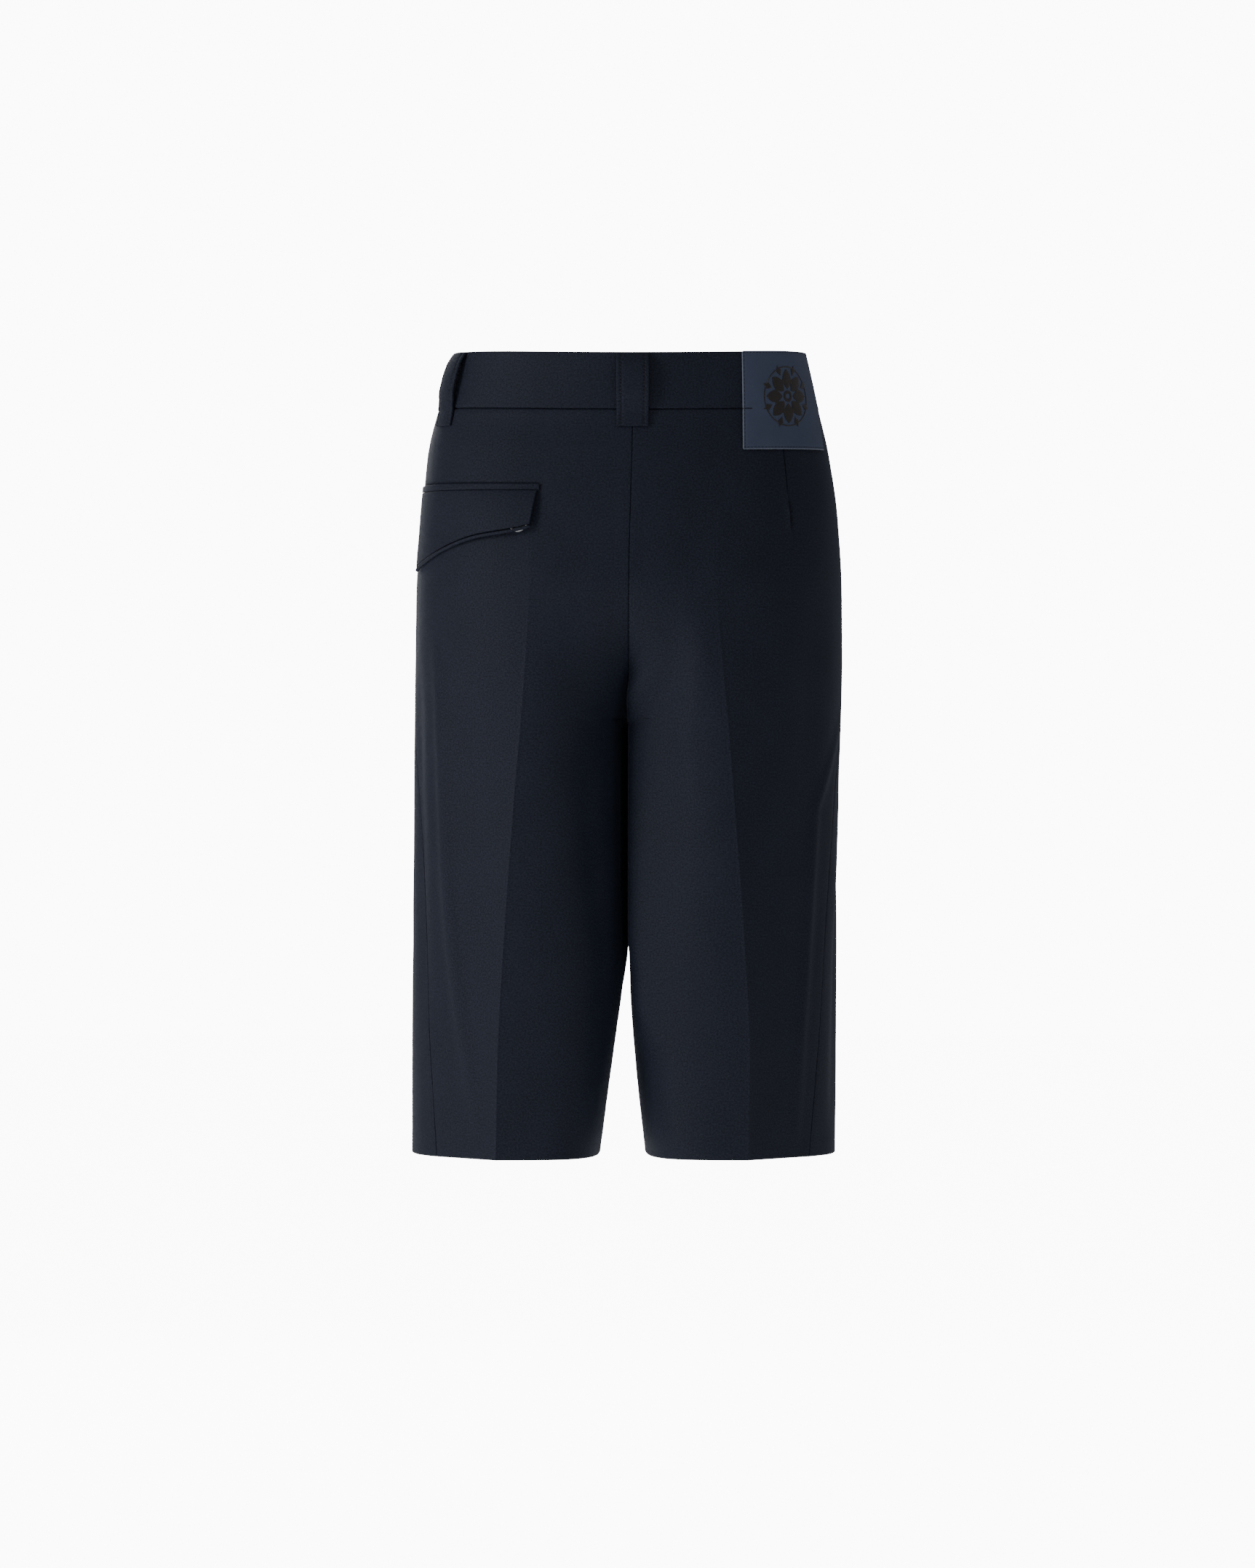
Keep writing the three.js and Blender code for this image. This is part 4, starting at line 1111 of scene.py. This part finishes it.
def pocket_welt():
    down = edged(WELT["top"], WELT["bottom"], 6)
    across = edged(WELT["from"], WELT["to"], 70)
    distances, levels = np.meshgrid(across, down)
    away = np.minimum(
        np.minimum(WELT["top"] - levels, levels - WELT["bottom"]),
        np.minimum(distances - WELT["from"], WELT["to"] - distances),
    )
    relief = 0.12 * grain(distances, levels, 12.0, 6.0, 31.0)
    out = np.full(distances.shape, 0.3)
    piece, _ = laid_piece(
        "pocket_welt_cloth", pocket_ground, "left", levels, distances, out, WELT["wall"], clamp(away), 0.75,
        relief=relief, stands_for=["pocket_welt"],
    )
    return piece


welt_piece = pocket_welt()
print("welt", WELT["to"] - WELT["from"], "mm long")


# %% Flap
def flap_out(distance, t):
    """How far the flap's inner face stands off, from the slit (t = 0) to its lower edge (t = 1)."""
    flat = smooth_step(distance, *FLAP["lies_flat"])
    free = FLAP["inner_out"] + (FLAP["edge_out"] - FLAP["inner_out"]) * flat
    return FLAP["top_out"] + (free - FLAP["top_out"]) * np.sin(t * math.pi / 2) ** 0.4


def flap_place(distance, t):
    first, last = FLAP_EDGE[0][0], FLAP_EDGE[-1][0]
    share = (distance - first) / (last - first)
    edge = np.vectorize(flap_edge)(distance)
    slanted = distance + (FLAP["inner_top"] - first) * (1 - share) * (1 - t)
    return slanted, FLAP["top"] + (edge - FLAP["top"]) * t, edge


def pocket_flap():
    first, last = FLAP_EDGE[0][0], FLAP_EDGE[-1][0]
    columns = edged(first, last, 74)
    t = edged(0, 28, 26)[:, None] / 28
    distance, t = np.broadcast_arrays(columns[None, :], t)
    slanted, levels, edge = flap_place(distance, t)
    from_sides = np.minimum(distance - first, last - distance)
    away = np.minimum(from_sides, np.minimum(levels - edge, FLAP["top"] - levels))
    relief = 0.3 * grain(distance, levels, 26.0, 16.0, 41.0) * t
    relief += 0.08 * grain(distance, levels, 6.0, 6.0, 43.0)
    piece, _ = laid_piece(
        "pocket_flap_cloth", pocket_ground, "left", levels, slanted, flap_out(distance, t), FLAP["wall"],
        clamp(away), 0.72, relief=relief, stands_for=["pocket_flap"],
    )
    return piece


flap_piece = pocket_flap()
print("flap drops", FLAP["top"] - FLAP_EDGE[0][1], "to", FLAP["top"] - FLAP_EDGE[-1][1], "mm")

# %% Piped edge
BINDING = {"height": 2.3, "thick": 3.0, "hangs": 0.75}


def flap_piping():
    first, last = FLAP_EDGE[0][0], FLAP_EDGE[-1][0]
    columns = edged(first - 0.4, last + 0.2, 110)
    turn = np.linspace(0.02, math.pi - 0.02, 15)[:, None]
    distance, turn = np.broadcast_arrays(columns[None, :], turn)
    edge = np.vectorize(flap_edge)(distance)
    middle = flap_out(distance, 1.0) + FLAP["wall"] / 2
    from_ends = np.minimum(distance - first + 0.4, last + 0.2 - distance)
    taper = 0.45 + 0.55 * smooth_step(from_ends, -0.2, 2.2)
    half_thick = BINDING["thick"] / 2 * np.sin(turn) * taper
    levels = edge - BINDING["hangs"] - BINDING["height"] * (1 - np.cos(turn) * taper) / 2
    away = np.full(distance.shape, 5.0)
    piece, _ = laid_piece(
        "flap_piping", pocket_ground, "left", levels, distance, middle - half_thick, 2 * half_thick,
        away, 0.5, relief=0.03 * np.sin(distance * 2.2), stands_for=["flap_binding"],
    )
    return piece


piping_piece = flap_piping()
print("piping", BINDING["height"], "mm high")

# %% [markdown]
# ## Buttons
# A trouser button is turned: a raised rim, a dished middle and four holes, with two bars of thread.
# The profile is spun here by hand, so that the finished mesh can be set straight onto its place, and
# the holes are cut with a Boolean. One sits under the flap, so only its rim shows, and one closes the
# tab at the front.

# %% Turned shapes
BUTTON = {"radius": 7.5, "thick": 2.3, "hole": 0.9, "ring": 1.7}
BUTTON_PROFILE = [
    (0, 1.45), (2.6, 1.45), (3.9, 1.5), (4.7, 1.72), (5.3, 2.08), (5.9, 2.27), (6.5, 2.3), (7.05, 2.12),
    (7.4, 1.72), (7.5, 1.2), (7.38, 0.7), (7.0, 0.3), (6.2, 0.04), (5.0, 0), (0, 0),
]
TURNS = 72


def spin(profile, turns):
    """A closed lathe mesh from a profile that starts and ends on the axis."""
    shell = bmesh.new()
    angles = [2 * math.pi * k / turns for k in range(turns)]
    top = shell.verts.new((0, 0, profile[0][1]))
    bottom = shell.verts.new((0, 0, profile[-1][1]))
    loops = [
        [shell.verts.new((r * math.cos(a), r * math.sin(a), h)) for a in angles] for r, h in profile[1:-1]
    ]
    for k in range(turns):
        n = (k + 1) % turns
        shell.faces.new((top, loops[0][k], loops[0][n]))
        shell.faces.new((bottom, loops[-1][n], loops[-1][k]))
        for upper, lower in zip(loops, loops[1:]):
            shell.faces.new((upper[k], lower[k], lower[n], upper[n]))
    bmesh.ops.recalc_face_normals(shell, faces=shell.faces)
    mesh = bpy.data.meshes.new("turned")
    shell.to_mesh(mesh)
    shell.free()
    return mesh


def applied(piece):
    """The evaluated mesh of an object, which is then removed."""
    result = bpy.data.meshes.new_from_object(piece.evaluated_get(bpy.context.evaluated_depsgraph_get()))
    bpy.data.objects.remove(piece)
    return result


print(len(BUTTON_PROFILE), "points in the button's profile")


# %% Button mesh
def button_mesh():
    body = bpy.data.objects.new("button_body", spin(BUTTON_PROFILE, TURNS))
    bpy.context.scene.collection.objects.link(body)
    cutters = []
    for k in range(4):
        angle = (k + 0.5) * math.pi / 2
        drill = spin([(0, 4), (BUTTON["hole"], 4), (BUTTON["hole"], -1), (0, -1)], 20)
        for vertex in drill.vertices:
            vertex.co.x += BUTTON["ring"] * math.cos(angle)
            vertex.co.y += BUTTON["ring"] * math.sin(angle)
        cutter = bpy.data.objects.new(f"drill_{k}", drill)
        bpy.context.scene.collection.objects.link(cutter)
        cut = body.modifiers.new(f"hole_{k}", "BOOLEAN")
        cut.operation = "DIFFERENCE"
        cut.solver = "EXACT"
        cut.object = cutter
        cutters.append(cutter)
    mesh = applied(body)
    for cutter in cutters:
        bpy.data.objects.remove(cutter)
    return mesh


turned = button_mesh()
print("button mesh:", len(turned.polygons), "faces")


# %% Buttons in place
def set_in_place(mesh, face, distance, level, out):
    """Moves a mesh drawn flat, in millimetres, to its place on a face, in metres."""
    point, way = face.at(distance, level, out)
    point, outward = Vector(point.ravel()), Vector(way.ravel())
    upward = Vector((0, 0, 1)) - outward * outward.z
    upward.normalize()
    right = upward.cross(outward)
    for vertex in mesh.vertices:
        x, y, h = vertex.co
        vertex.co = (point + right * x + upward * y + outward * h) * MM
    mesh.update()
    return mesh


def button_material(name, dark, light):
    """Pearly, swirled button plastic with a little gloss."""
    material, tree, shader = new_material(name)
    place = node(tree, "ShaderNodeTexCoord").outputs["Object"]
    swirl = noise_node(tree, place, 240.0, 3.0, Distortion=1.2)
    tree.links.new(between(tree, swirl, dark, light), shader.inputs["Base Color"])
    tree.links.new(maths(tree, "MULTIPLY_ADD", swirl, 0.18, 0.12), shader.inputs["Roughness"])
    shader.inputs["Metallic"].default_value = 0.55
    shader.inputs["Coat Weight"].default_value = 0.4
    return material


silver_grey = button_material("silver_grey_button", (0.42, 0.43, 0.45), (0.68, 0.69, 0.7))
tab_whole = ring("right", -4).whole
BUTTONS = {
    "pocket_button": (pocket_ground, 85, -113.9, 0.3),
    "waist_button": (bands["right"], tab_whole + 17, -4, PIECE_GAP),
}
for name, place in BUTTONS.items():
    add_piece(name + "_turned", set_in_place(turned.copy(), *place), silver_grey, [name])
print(len(BUTTONS), "buttons of", 2 * BUTTON["radius"], "mm")

# %% [markdown]
# ## Stitches
# Hundreds of stitches lie along seams. Geometry Nodes set one small grain of thread at even steps
# along each row, turned with the row and the cloth below it. The rows are read from the faces of the
# finished pieces, so they sit in their channels, and one tree serves topstitches, tacks and
# buttonhole edges by its named inputs.

# %% Stitch tree
def stitch_tree():
    tree = bpy.data.node_groups.new("stitch_rows", "GeometryNodeTree")
    socket(tree, "Rows", "NodeSocketGeometry", True)
    socket(tree, "Stitch length", "NodeSocketFloat", True, 0.0022)
    socket(tree, "Step", "NodeSocketFloat", True, 0.0027)
    socket(tree, "Thread radius", "NodeSocketFloat", True, 0.00022)
    socket(tree, "Turn", "NodeSocketFloat", True, 0.0)
    socket(tree, "Seed", "NodeSocketInt", True, 7)
    socket(tree, "Thread", "NodeSocketMaterial", True)
    socket(tree, "Stitches", "NodeSocketGeometry", False)
    entry = tree.nodes.new("NodeGroupInput")
    leave = tree.nodes.new("NodeGroupOutput")
    rows = node(tree, "GeometryNodeMeshToCurve", {"Mesh": entry.outputs["Rows"]})
    even = node(
        tree, "GeometryNodeResampleCurve",
        {"Curve": rows.outputs[0], "Length": entry.outputs["Step"]}, mode="LENGTH",
    )
    points = node(tree, "GeometryNodeCurveToPoints", {"Curve": even.outputs[0]}, mode="EVALUATED")
    along = node(tree, "FunctionNodeAlignRotationToVector", {"Vector": points.outputs["Tangent"]}, axis="X")
    outward = node(tree, "GeometryNodeInputNamedAttribute", {"Name": "outward"}, data_type="FLOAT_VECTOR")
    facing = node(
        tree, "FunctionNodeAlignRotationToVector",
        {"Rotation": along.outputs[0], "Vector": outward.outputs[0]}, axis="Z", pivot_axis="X",
    )
    grain_mesh = node(tree, "GeometryNodeMeshUVSphere", {"Segments": 8, "Rings": 5, "Radius": 1.0})
    half_length = maths(tree, "MULTIPLY", entry.outputs["Stitch length"], 0.5)
    flat = maths(tree, "MULTIPLY", entry.outputs["Thread radius"], 0.8)
    size = node(tree, "ShaderNodeCombineXYZ", {0: half_length, 1: entry.outputs["Thread radius"], 2: flat})
    uneven = node(tree, "FunctionNodeRandomValue", {"Seed": entry.outputs["Seed"]}, data_type="FLOAT_VECTOR")
    uneven.inputs[0].default_value = (0.9, 0.88, 0.85)
    uneven.inputs[1].default_value = (1.05, 1.1, 1.1)
    scaled = node(
        tree, "ShaderNodeVectorMath", {0: size.outputs[0], 1: uneven.outputs[0]}, operation="MULTIPLY"
    )
    stitches = node(
        tree, "GeometryNodeInstanceOnPoints",
        {"Points": points.outputs[0], "Instance": grain_mesh.outputs[0], "Rotation": facing.outputs[0],
         "Scale": scaled.outputs[0]},
    )
    spun = node(tree, "ShaderNodeCombineXYZ", {2: entry.outputs["Turn"]})
    turned_rows = node(
        tree, "GeometryNodeRotateInstances", {"Instances": stitches.outputs[0], "Rotation": spun.outputs[0]}
    )
    real = node(tree, "GeometryNodeRealizeInstances", {0: turned_rows.outputs[0]})
    done = node(
        tree, "GeometryNodeSetMaterial",
        {"Geometry": real.outputs[0], "Material": entry.outputs["Thread"]},
    )
    tree.links.new(done.outputs[0], leave.inputs["Stitches"])
    return tree


stitches_tree = stitch_tree()
print("stitch tree:", len(stitches_tree.nodes), "nodes")


# %% Thread and rows
def thread_material(name, dark, light):
    """Fuzzy spun thread, uneven in tone and a little shinier than the cloth."""
    material, tree, shader = new_material(name)
    place = node(tree, "ShaderNodeTexCoord").outputs["Object"]
    fuzz = noise_node(tree, place, 5200.0, 2.0)
    tree.links.new(between(tree, fuzz, dark, light), shader.inputs["Base Color"])
    bump_into(tree, shader, fuzz, 0.4, 0.00006)
    shader.inputs["Roughness"].default_value = 0.5
    shader.inputs["Specular IOR Level"].default_value = 0.4
    return material


def stitch_rows(name, rows, material, slot, seed=7, **sizes):
    """One piece of stitches from rows of (points, outward directions), in millimetres."""
    points = np.concatenate([p for p, _ in rows]) * MM
    outward = np.concatenate([n for _, n in rows])
    starts = np.cumsum([0] + [len(p) for p, _ in rows])
    edges = [(i, i + 1) for a, b in zip(starts, starts[1:]) for i in range(a, b - 1)]
    mesh = bpy.data.meshes.new(name + "_rows")
    mesh.from_pydata(points.tolist(), edges, [])
    layer = mesh.attributes.new(name="outward", type="FLOAT_VECTOR", domain="POINT")
    layer.data.foreach_set("vector", outward.ravel().astype(np.float32))
    carrier = bpy.data.objects.new(name + "_rows", mesh)
    bpy.context.scene.collection.objects.link(carrier)
    modifier = carrier.modifiers.new("stitches", "NODES")
    modifier.node_group = stitches_tree
    values = {"Seed": seed, "Thread": material, **sizes}
    for item in stitches_tree.interface.items_tree:
        if item.item_type == "SOCKET" and item.in_out == "INPUT" and item.name in values:
            modifier[item.identifier] = values[item.name]
    result = applied(carrier)
    piece = add_piece(name, result, material)
    print(name, len(result.polygons), "faces")
    return piece


navy_thread = thread_material("navy_thread", (0.003, 0.004, 0.007), (0.011, 0.014, 0.022))
print("thread:", navy_thread.name)


# %% Topstitches on the loops
def row(face, distances, levels, out=0.06):
    return face.at(np.asarray(distances, dtype=float), np.asarray(levels, dtype=float), out)


loop_rows = []
for name, (_, start, _, leans) in LOOPS.items():
    down = np.linspace(LOOP_PROFILE[0][0] - 0.6, LOOP_PROFILE[-1][0] + 0.6, 60)
    for side in (-1, 1):
        stitched_at = loop_middle(start, leans, down) + side * (LOOP_WIDTH / 2 - LOOP_STITCH_IN)
        loop_rows.append(row(loop_faces[name], stitched_at, down))
loop_sizes = {"Stitch length": 0.0019, "Step": LOOP_STITCH_STEP * MM, "Thread radius": 0.00034}
stitch_rows("loop_topstitch", loop_rows, navy_thread, "navy_twill", **loop_sizes)

# %% Stitches and tacks on the patch
TACKS = [(LABEL["from"] - 1.2, LABEL["from"] + 6.6, -27.0), (169.6, 174.7, -28.5)]
ON_PATCH = (LABEL["from"] + 0.1, LABEL["from"] + LABEL["width"] - 0.1)
inset = LABEL["stitch_in"]
left, right = LABEL["from"] + inset, LABEL["from"] + LABEL["width"] - inset
top, bottom = LABEL["top"] - inset, LABEL["bottom"] + inset
line = np.linspace(0, 1, 50)
patch_rows = [
    row(patch_face, left + (right - left) * line, np.full(50, bottom)),
    row(patch_face, left + (right - left) * line, np.full(50, top)),
    row(patch_face, np.full(50, left), top + (bottom - top) * line),
    row(patch_face, np.full(50, right), top + (bottom - top) * line),
]
patch_sizes = {"Stitch length": 0.0024, "Step": 0.0029}
stitch_rows("label_stitches", patch_rows, navy_thread, "navy_twill", seed=3, **patch_sizes)

tack_line = np.linspace(0, 1, 12)
tack_rows = []
for start, end, level in TACKS:
    for shift in (-0.22, 0.22):
        along = np.clip(start + (end - start) * tack_line, *ON_PATCH)
        tack_rows.append(row(patch_face, along, np.full(12, level + shift), 0.1))
tack_sizes = {"Stitch length": 0.0026, "Step": 0.0014}
stitch_rows("label_tacks", tack_rows, navy_thread, "navy_twill", seed=5, **tack_sizes)

# %% Fly curve, buttonhole and button threads
FLY_STITCH = {"in": 24.0, "top": -28, "bend": -146, "drop": 32, "reach": 27}
quarter = np.linspace(0, math.pi / 2, 26)[1:]
straight = np.linspace(FLY_STITCH["top"], FLY_STITCH["bend"], 60)
fly_levels = np.concatenate([straight, FLY_STITCH["bend"] - FLY_STITCH["drop"] * np.sin(quarter)])
swing = FLY_STITCH["in"] - FLY_STITCH["reach"] * (1 - np.cos(quarter))
fly_in = np.concatenate([np.full(60, FLY_STITCH["in"]), swing])
fly_distances = np.array([ring("right", level).whole for level in fly_levels]) - fly_in
fly_row = row(panels["front_right"], fly_distances, fly_levels)
stitch_rows("fly_topstitch", [fly_row], navy_thread, "navy_twill", seed=9)

BUTTONHOLE = {"half_length": 9.5, "half_height": 1.15, "past_centre": 19, "level": -4}
hole_turn = np.linspace(0, 2 * math.pi, 60)
hole_end = np.sign(np.cos(hole_turn)) * np.abs(np.cos(hole_turn)) ** 0.55
hole_x = tab_whole + BUTTONHOLE["past_centre"] + BUTTONHOLE["half_length"] * hole_end
hole_z = BUTTONHOLE["level"] + BUTTONHOLE["half_height"] * np.sin(hole_turn)
hole_sizes = {"Stitch length": 0.0019, "Step": 0.00055, "Thread radius": 0.0003, "Turn": math.pi / 2}
hole_row = row(bands["right"], hole_x, hole_z, 0.12)
stitch_rows("buttonhole_edge", [hole_row], navy_thread, "navy_twill", seed=12, **hole_sizes)

bar_rows = []
for name, (face, distance, level, out) in BUTTONS.items():
    for up in (-1.2, 1.2):
        reach = np.linspace(-1.35, 1.35, 7)
        arch = out + 1.5 + 0.28 * np.cos(reach)
        bar_rows.append(face.at(distance + reach, level + up + 0 * reach, arch))
bar_sizes = {"Stitch length": 0.0017, "Step": 0.0006, "Thread radius": 0.00042}
stitch_rows("button_threads", bar_rows, navy_thread, "navy_twill", seed=15, **bar_sizes)

# %% [markdown]
# ## How the pieces hang
# The panels hang from the band, and the small pieces are sewn onto the panels or onto the band.

# %% [markdown]
# ## Light and floor
# The photograph has a broad soft light from its left and a bright, even background. One large softbox
# gives that light, with a small high one for the seat, a weak fill from the other side and one in front
# for the other views. The surrounding is bright to the camera and dim to the cloth, which keeps the
# navy deep, and a plain floor far below the hems keeps its bounce light weak.

# %% Surrounding
world = bpy.data.worlds.new("pale_studio")
world.use_nodes = True
sky = world.node_tree
seen = node(sky, "ShaderNodeBackground", {"Strength": 11.0})
shining = node(sky, "ShaderNodeBackground", {"Strength": 0.16})
camera_ray = node(sky, "ShaderNodeLightPath").outputs["Is Camera Ray"]
both = node(sky, "ShaderNodeMixShader", {0: camera_ray, 1: shining.outputs[0], 2: seen.outputs[0]})
sky.links.new(both.outputs[0], sky.nodes["World Output"].inputs["Surface"])
for background in (seen, shining):
    background.inputs["Color"].default_value = (1, 1, 1, 1)
bpy.context.scene.world = world
print("surrounding:", len(sky.nodes), "nodes")


# %% Softboxes
def softbox(name, place, target, width, height, power):
    light = bpy.data.lights.new(name, "AREA")
    light.shape = "RECTANGLE"
    light.size, light.size_y, light.energy = width, height, power
    holder = bpy.data.objects.new(name, light)
    bpy.context.scene.collection.objects.link(holder)
    holder.location = place
    holder.rotation_euler = (Vector(target) - Vector(place)).to_track_quat("-Z", "Y").to_euler()
    return holder


softbox("key_softbox", (3.0, 1.7, 0.6), (0, 0, -0.3), 1.2, 1.9, 45)
softbox("high_softbox", (-0.6, 1.5, 1.7), (0, 0, -0.05), 0.9, 0.8, 3.6)
softbox("fill_softbox", (-2.6, 2.6, 0.1), (0, 0, -0.3), 1.6, 2.0, 2)
softbox("front_side_softbox", (0.8, -2.8, 0.6), (0, 0, -0.3), 1.8, 1.8, 30)
print(len(bpy.data.lights), "softboxes")

# %% Floor
FLOOR_Z = -1.05
FLOOR_HALF = 12
floor_mesh = bpy.data.meshes.new("studio_floor")
corners = [(x * FLOOR_HALF, y * FLOOR_HALF, FLOOR_Z) for x, y in ((-1, -1), (1, -1), (1, 1), (-1, 1))]
floor_mesh.from_pydata(corners, [], [(0, 1, 2, 3)])
floor = bpy.data.objects.new("studio_floor", floor_mesh)
bpy.context.scene.collection.objects.link(floor)
floor_paint, paint_tree, paint = new_material("pale_floor_paint")
paint.inputs["Base Color"].default_value = (0.9, 0.9, 0.9, 1)
paint.inputs["Roughness"].default_value = 1.0
paint.inputs["Specular IOR Level"].default_value = 0.0
bright = node(paint_tree, "ShaderNodeEmission", {"Color": (1, 1, 1, 1), "Strength": 10.6})
lit_ray = node(paint_tree, "ShaderNodeLightPath").outputs["Is Camera Ray"]
glow = node(paint_tree, "ShaderNodeMixShader", {0: lit_ray, 1: paint.outputs[0], 2: bright.outputs[0]})
shown = node(paint_tree, "ShaderNodeAddShader", {0: glow.outputs[0], 1: paint.outputs[0]})
paint_tree.links.new(shown.outputs[0], paint_tree.nodes["Material Output"].inputs["Surface"])
floor_mesh.materials.append(floor_paint)
print("floor", FLOOR_Z, "m, well below the hems")
